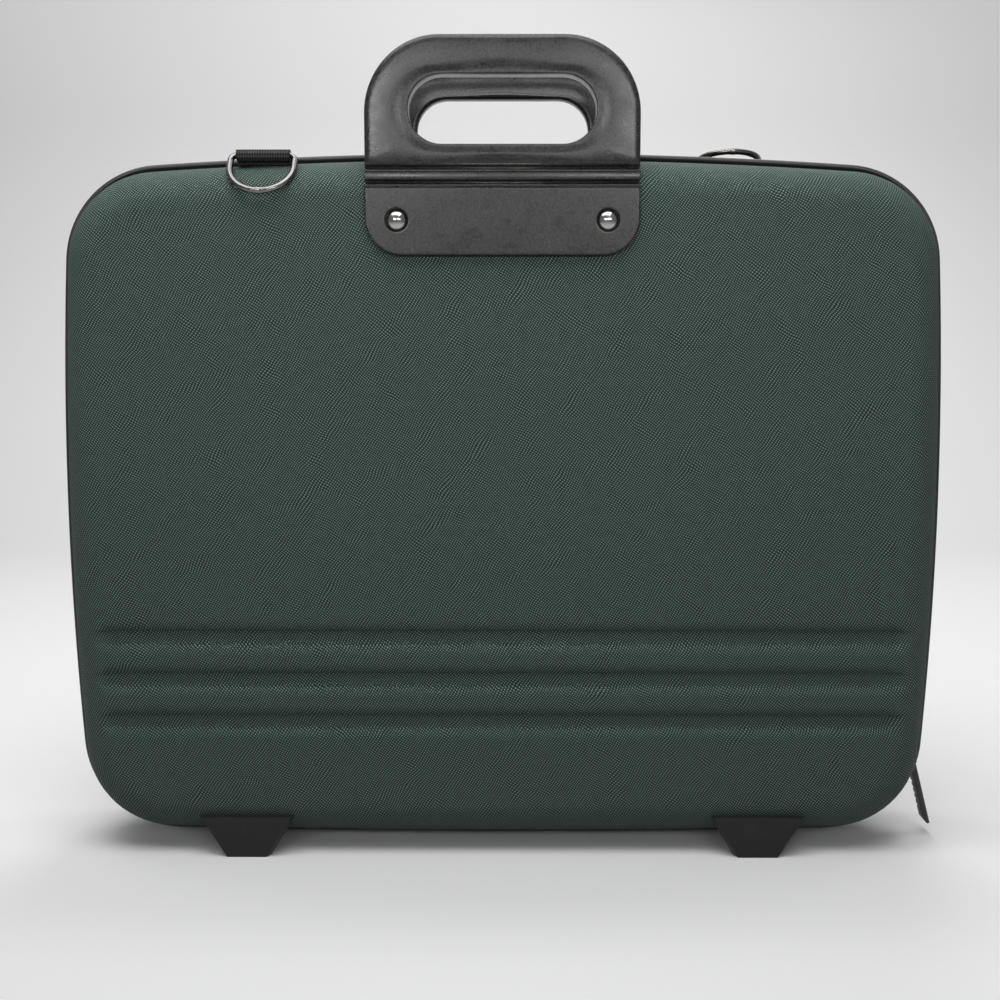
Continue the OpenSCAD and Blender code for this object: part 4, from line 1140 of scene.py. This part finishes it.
# ---- Zip sliders and pulls ----
# Two die-cast sliders in worn black lacquer. Each has a plate with a guard at its back edge and an
# arched bridge, which carries a moulded rubber pull, ribbed on its inner face.

lacquer = material("black lacquer", (0.022, 0.022, 0.022), 0.3, Metallic=0.6)
chip = noise(lacquer, 800, 6, 0.7)
coloured(lacquer, ranged(lacquer, chip, 0.62, 0.7), (0.020, 0.020, 0.020), (0.20, 0.195, 0.19))
roughened(lacquer, chip, 0, 1, 0.2, 0.45)
bumped(lacquer, chip, 0.2, 0.00005)
pull_rubber = material("pull rubber", (0.030, 0.029, 0.028), 0.5)
worn = noise(pull_rubber, 1300, 4, 0.7)
edges = node(pull_rubber, "ShaderNodeNewGeometry").outputs["Pointiness"]
fleck = maths(pull_rubber, "MULTIPLY", ranged(pull_rubber, edges, 0.5, 0.62, 0, 0.6), worn)
coloured(pull_rubber, fleck, (0.016, 0.015, 0.015), (0.20, 0.19, 0.18))
roughened(pull_rubber, worn, 0, 1, 0.4, 0.62)
bumped(pull_rubber, worn, 0.4, 0.0001)

slider_l, slider_w, slider_t, plate_under = 12, 8.6, 1.2, 2.3
pull_over, pull_l, pull_w, pull_t = 2.8, 33.5, 7.4, 2.8
bridge_w, bridge_r, bridge_hole_r, tab_start = 2.6, 2.8, 1.5, 3.6


def slab(outline, low, high, level=True):
    """An outline between two heights, or one in X and Z between two places in Y."""
    points = [(a, b, c) if level else (a, c, b) for c in (low, high) for a, b in outline]
    return points, tube_faces(2, len(outline))


def rounded(x0, x1, y0, y1, r, steps=6):
    """A rectangle with rounded corners."""
    corners = ((x1 - r, y1 - r), (x0 + r, y1 - r), (x0 + r, y0 + r), (x1 - r, y0 + r))
    return [point for turn, (x, y) in zip((0, 90, 180, 270), corners)
            for point in arc_xz(x, y, r, turn, turn + 90, steps)]


def slider_parts():
    """Plate, guard, raised middle and arched bridge of a slider that lies along X."""
    half_l, half_t = slider_l / 2, slider_w / 2
    parts = [
        slab(rounded(-half_l, half_l, -half_t, half_t, 2.4), 0, slider_t),
        slab(rounded(-half_l + 0.6, half_l - 0.6, half_t - 1, half_t, 0.45, 3), -1, 0.6),
        slab(rounded(-half_l + 1.2, half_l - 1.2, -2.6, 2.6, 1.4), slider_t - 0.1, slider_t + 0.25),
    ]
    rim = arc_xz(0, pull_over, bridge_r, -25, 205, 24)
    rim += [(-bridge_r + 0.1, 0.8), (bridge_r - 0.1, 0.8)]
    hole = arc_xz(0, pull_over, bridge_hole_r, 0, 360, len(rim))[:-1]
    hole = [min(hole, key=lambda h: math.dist(h, (x * 0.6, pull_over + (z - pull_over) * 0.6)))
            for x, z in rim]
    n = len(rim)
    points = [(x, y, z) for y in (-bridge_w / 2, bridge_w / 2) for x, z in rim + hole]
    faces = []
    for i in range(n):
        j = (i + 1) % n
        faces += [(i, j, 2 * n + j, 2 * n + i), (n + i, 3 * n + i, 3 * n + j, n + j),
                  (i, n + i, n + j, j), (2 * n + i, 2 * n + j, 3 * n + j, 3 * n + i)]
    return joined([*parts, (points, faces)])


def pull_parts():
    """Pin, two cheeks and ribbed tab of a pull that hangs along X from its pin."""
    half_t, half_w_p = pull_t / 2, pull_w / 2
    cheek_in = bridge_w / 2 + 0.3
    pin_r = bridge_hole_r - 0.1
    pin = [(pin_r * math.cos(a), pin_r * math.sin(a)) for a in turns(24)]
    cheek = arc_xz(0, 0, half_t, 90, 270, 12)
    cheek += [(tab_start + 0.4, -half_t), (tab_start + 0.4, half_t)]
    tab = [(tab_start, -half_t)]
    for x in np.arange(pull_l - 22, pull_l - 8, 3.2):
        tab += [(x + along, deep - half_t)
                for along, deep in ((0, 0), (0.4, 0.35), (1, 0.35), (1.4, 0))]
    tab += [(pull_l - pull_t, -half_t), (pull_l, 0), (pull_l, half_t), (tab_start, half_t)]
    return joined([
        slab(outline, near, far, level=False) for outline, near, far in (
            (pin, -half_w_p + 0.2, half_w_p - 0.2), (cheek, cheek_in, half_w_p),
            (cheek, -half_w_p, -cheek_in), (tab, -half_w_p, half_w_p))
    ])


def turned_about_y(points, degrees):
    a = math.radians(degrees)
    return points @ np.array([[math.cos(a), 0, math.sin(a)], [0, 1, 0],
                              [-math.sin(a), 0, math.cos(a)]]).T


def on_rim(points, centre, r, degrees):
    """Puts a piece on a round part of the rim, with +Z out and +X on along the rim."""
    points = turned_about_y(points, 90) + (r, 0, 0)
    return turned_about_y(points, degrees) + centre


side_angle, side_lean = 18.4, 14.6
bottom_angle = math.degrees(math.asin(163 / bottom_bow))
for name, centre, r, degrees, swing in (
    ("side", (lower_x, 0, middle_z + lower_z), corner_r, side_angle, -(side_lean + side_angle)),
    ("bottom", (0, 0, middle_z + bottom_cz), bottom_bow, 90 - bottom_angle, 0),
):
    points, faces = slider_parts()
    points = on_rim(points, centre, r - plate_under, degrees)
    cast = closed(make_object(f"{name}_cast_slider", points, faces, lacquer))
    settle(cast, 0.22, segments=2)
    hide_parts(f"{name}_slider")
    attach(cast, f"{name}_slider")

    points, faces = pull_parts()
    points = turned_about_y(points, swing) + (0, 0, pull_over)
    points = on_rim(points, centre, r - plate_under, degrees)
    tab = closed(make_object(f"{name}_rubber_pull", points, faces, pull_rubber))
    settle(tab, 0.2, segments=2)
    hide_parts(f"{name}_pull")
    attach(tab, f"{name}_pull")

# ---- Foot screws ----
# A pan-head screw of plated steel holds each foot. It is driven from inside, square to the
# rounded edge of the shell, into a boss in the foot.

screw_turn = math.radians(52)
screw_y = turn_y + edge_d * math.sin(screw_turn)
screw_z = 3 + edge_inset + edge_w * (1 - math.cos(screw_turn))
screw_out = np.array([0, edge_w * math.sin(screw_turn), -edge_d * math.cos(screw_turn)])
screw_out /= np.linalg.norm(screw_out)


def foot_screw(x):
    """Head, drive recess and threaded shank, turned about the foot's screw line."""
    head_low = -wall - 2 - 2.2
    profile = [(r, head_low + d) for r, d in (
        (0.05, 0.9), (1.1, 0.9), (1.5, 0.05), (2.4, 0), (3.1, 0.35), (3.45, 1))]
    profile += [(3.5, -wall - 2.05), (1.5, -wall - 2)]
    depth = -wall - 1.8
    while depth < 4.2:
        profile += [(1.28, depth + 0.25), (1.5, depth + 0.5)]
        depth += 0.5
    profile += [(1.1, 4.8), (0.05, 4.95)]
    other = np.cross(screw_out, (1, 0, 0))
    base = np.array([x, screw_y, screw_z])
    points = [
        (base + screw_out * d + (r * math.cos(a), 0, 0) + other * r * math.sin(a)) * (1, -1, 1)
        for r, d in profile for a in turns(24)
    ]
    return points, tube_faces(len(profile), 24)


for side, body, back in cases:
    shape = joined([foot_screw(-foot_x), foot_screw(foot_x)])
    screws = closed(make_object(f"{side}_pan_head_screws", *shape, steel, back=back))
    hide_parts(f"{side}_foot_screws")
    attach(screws, body)
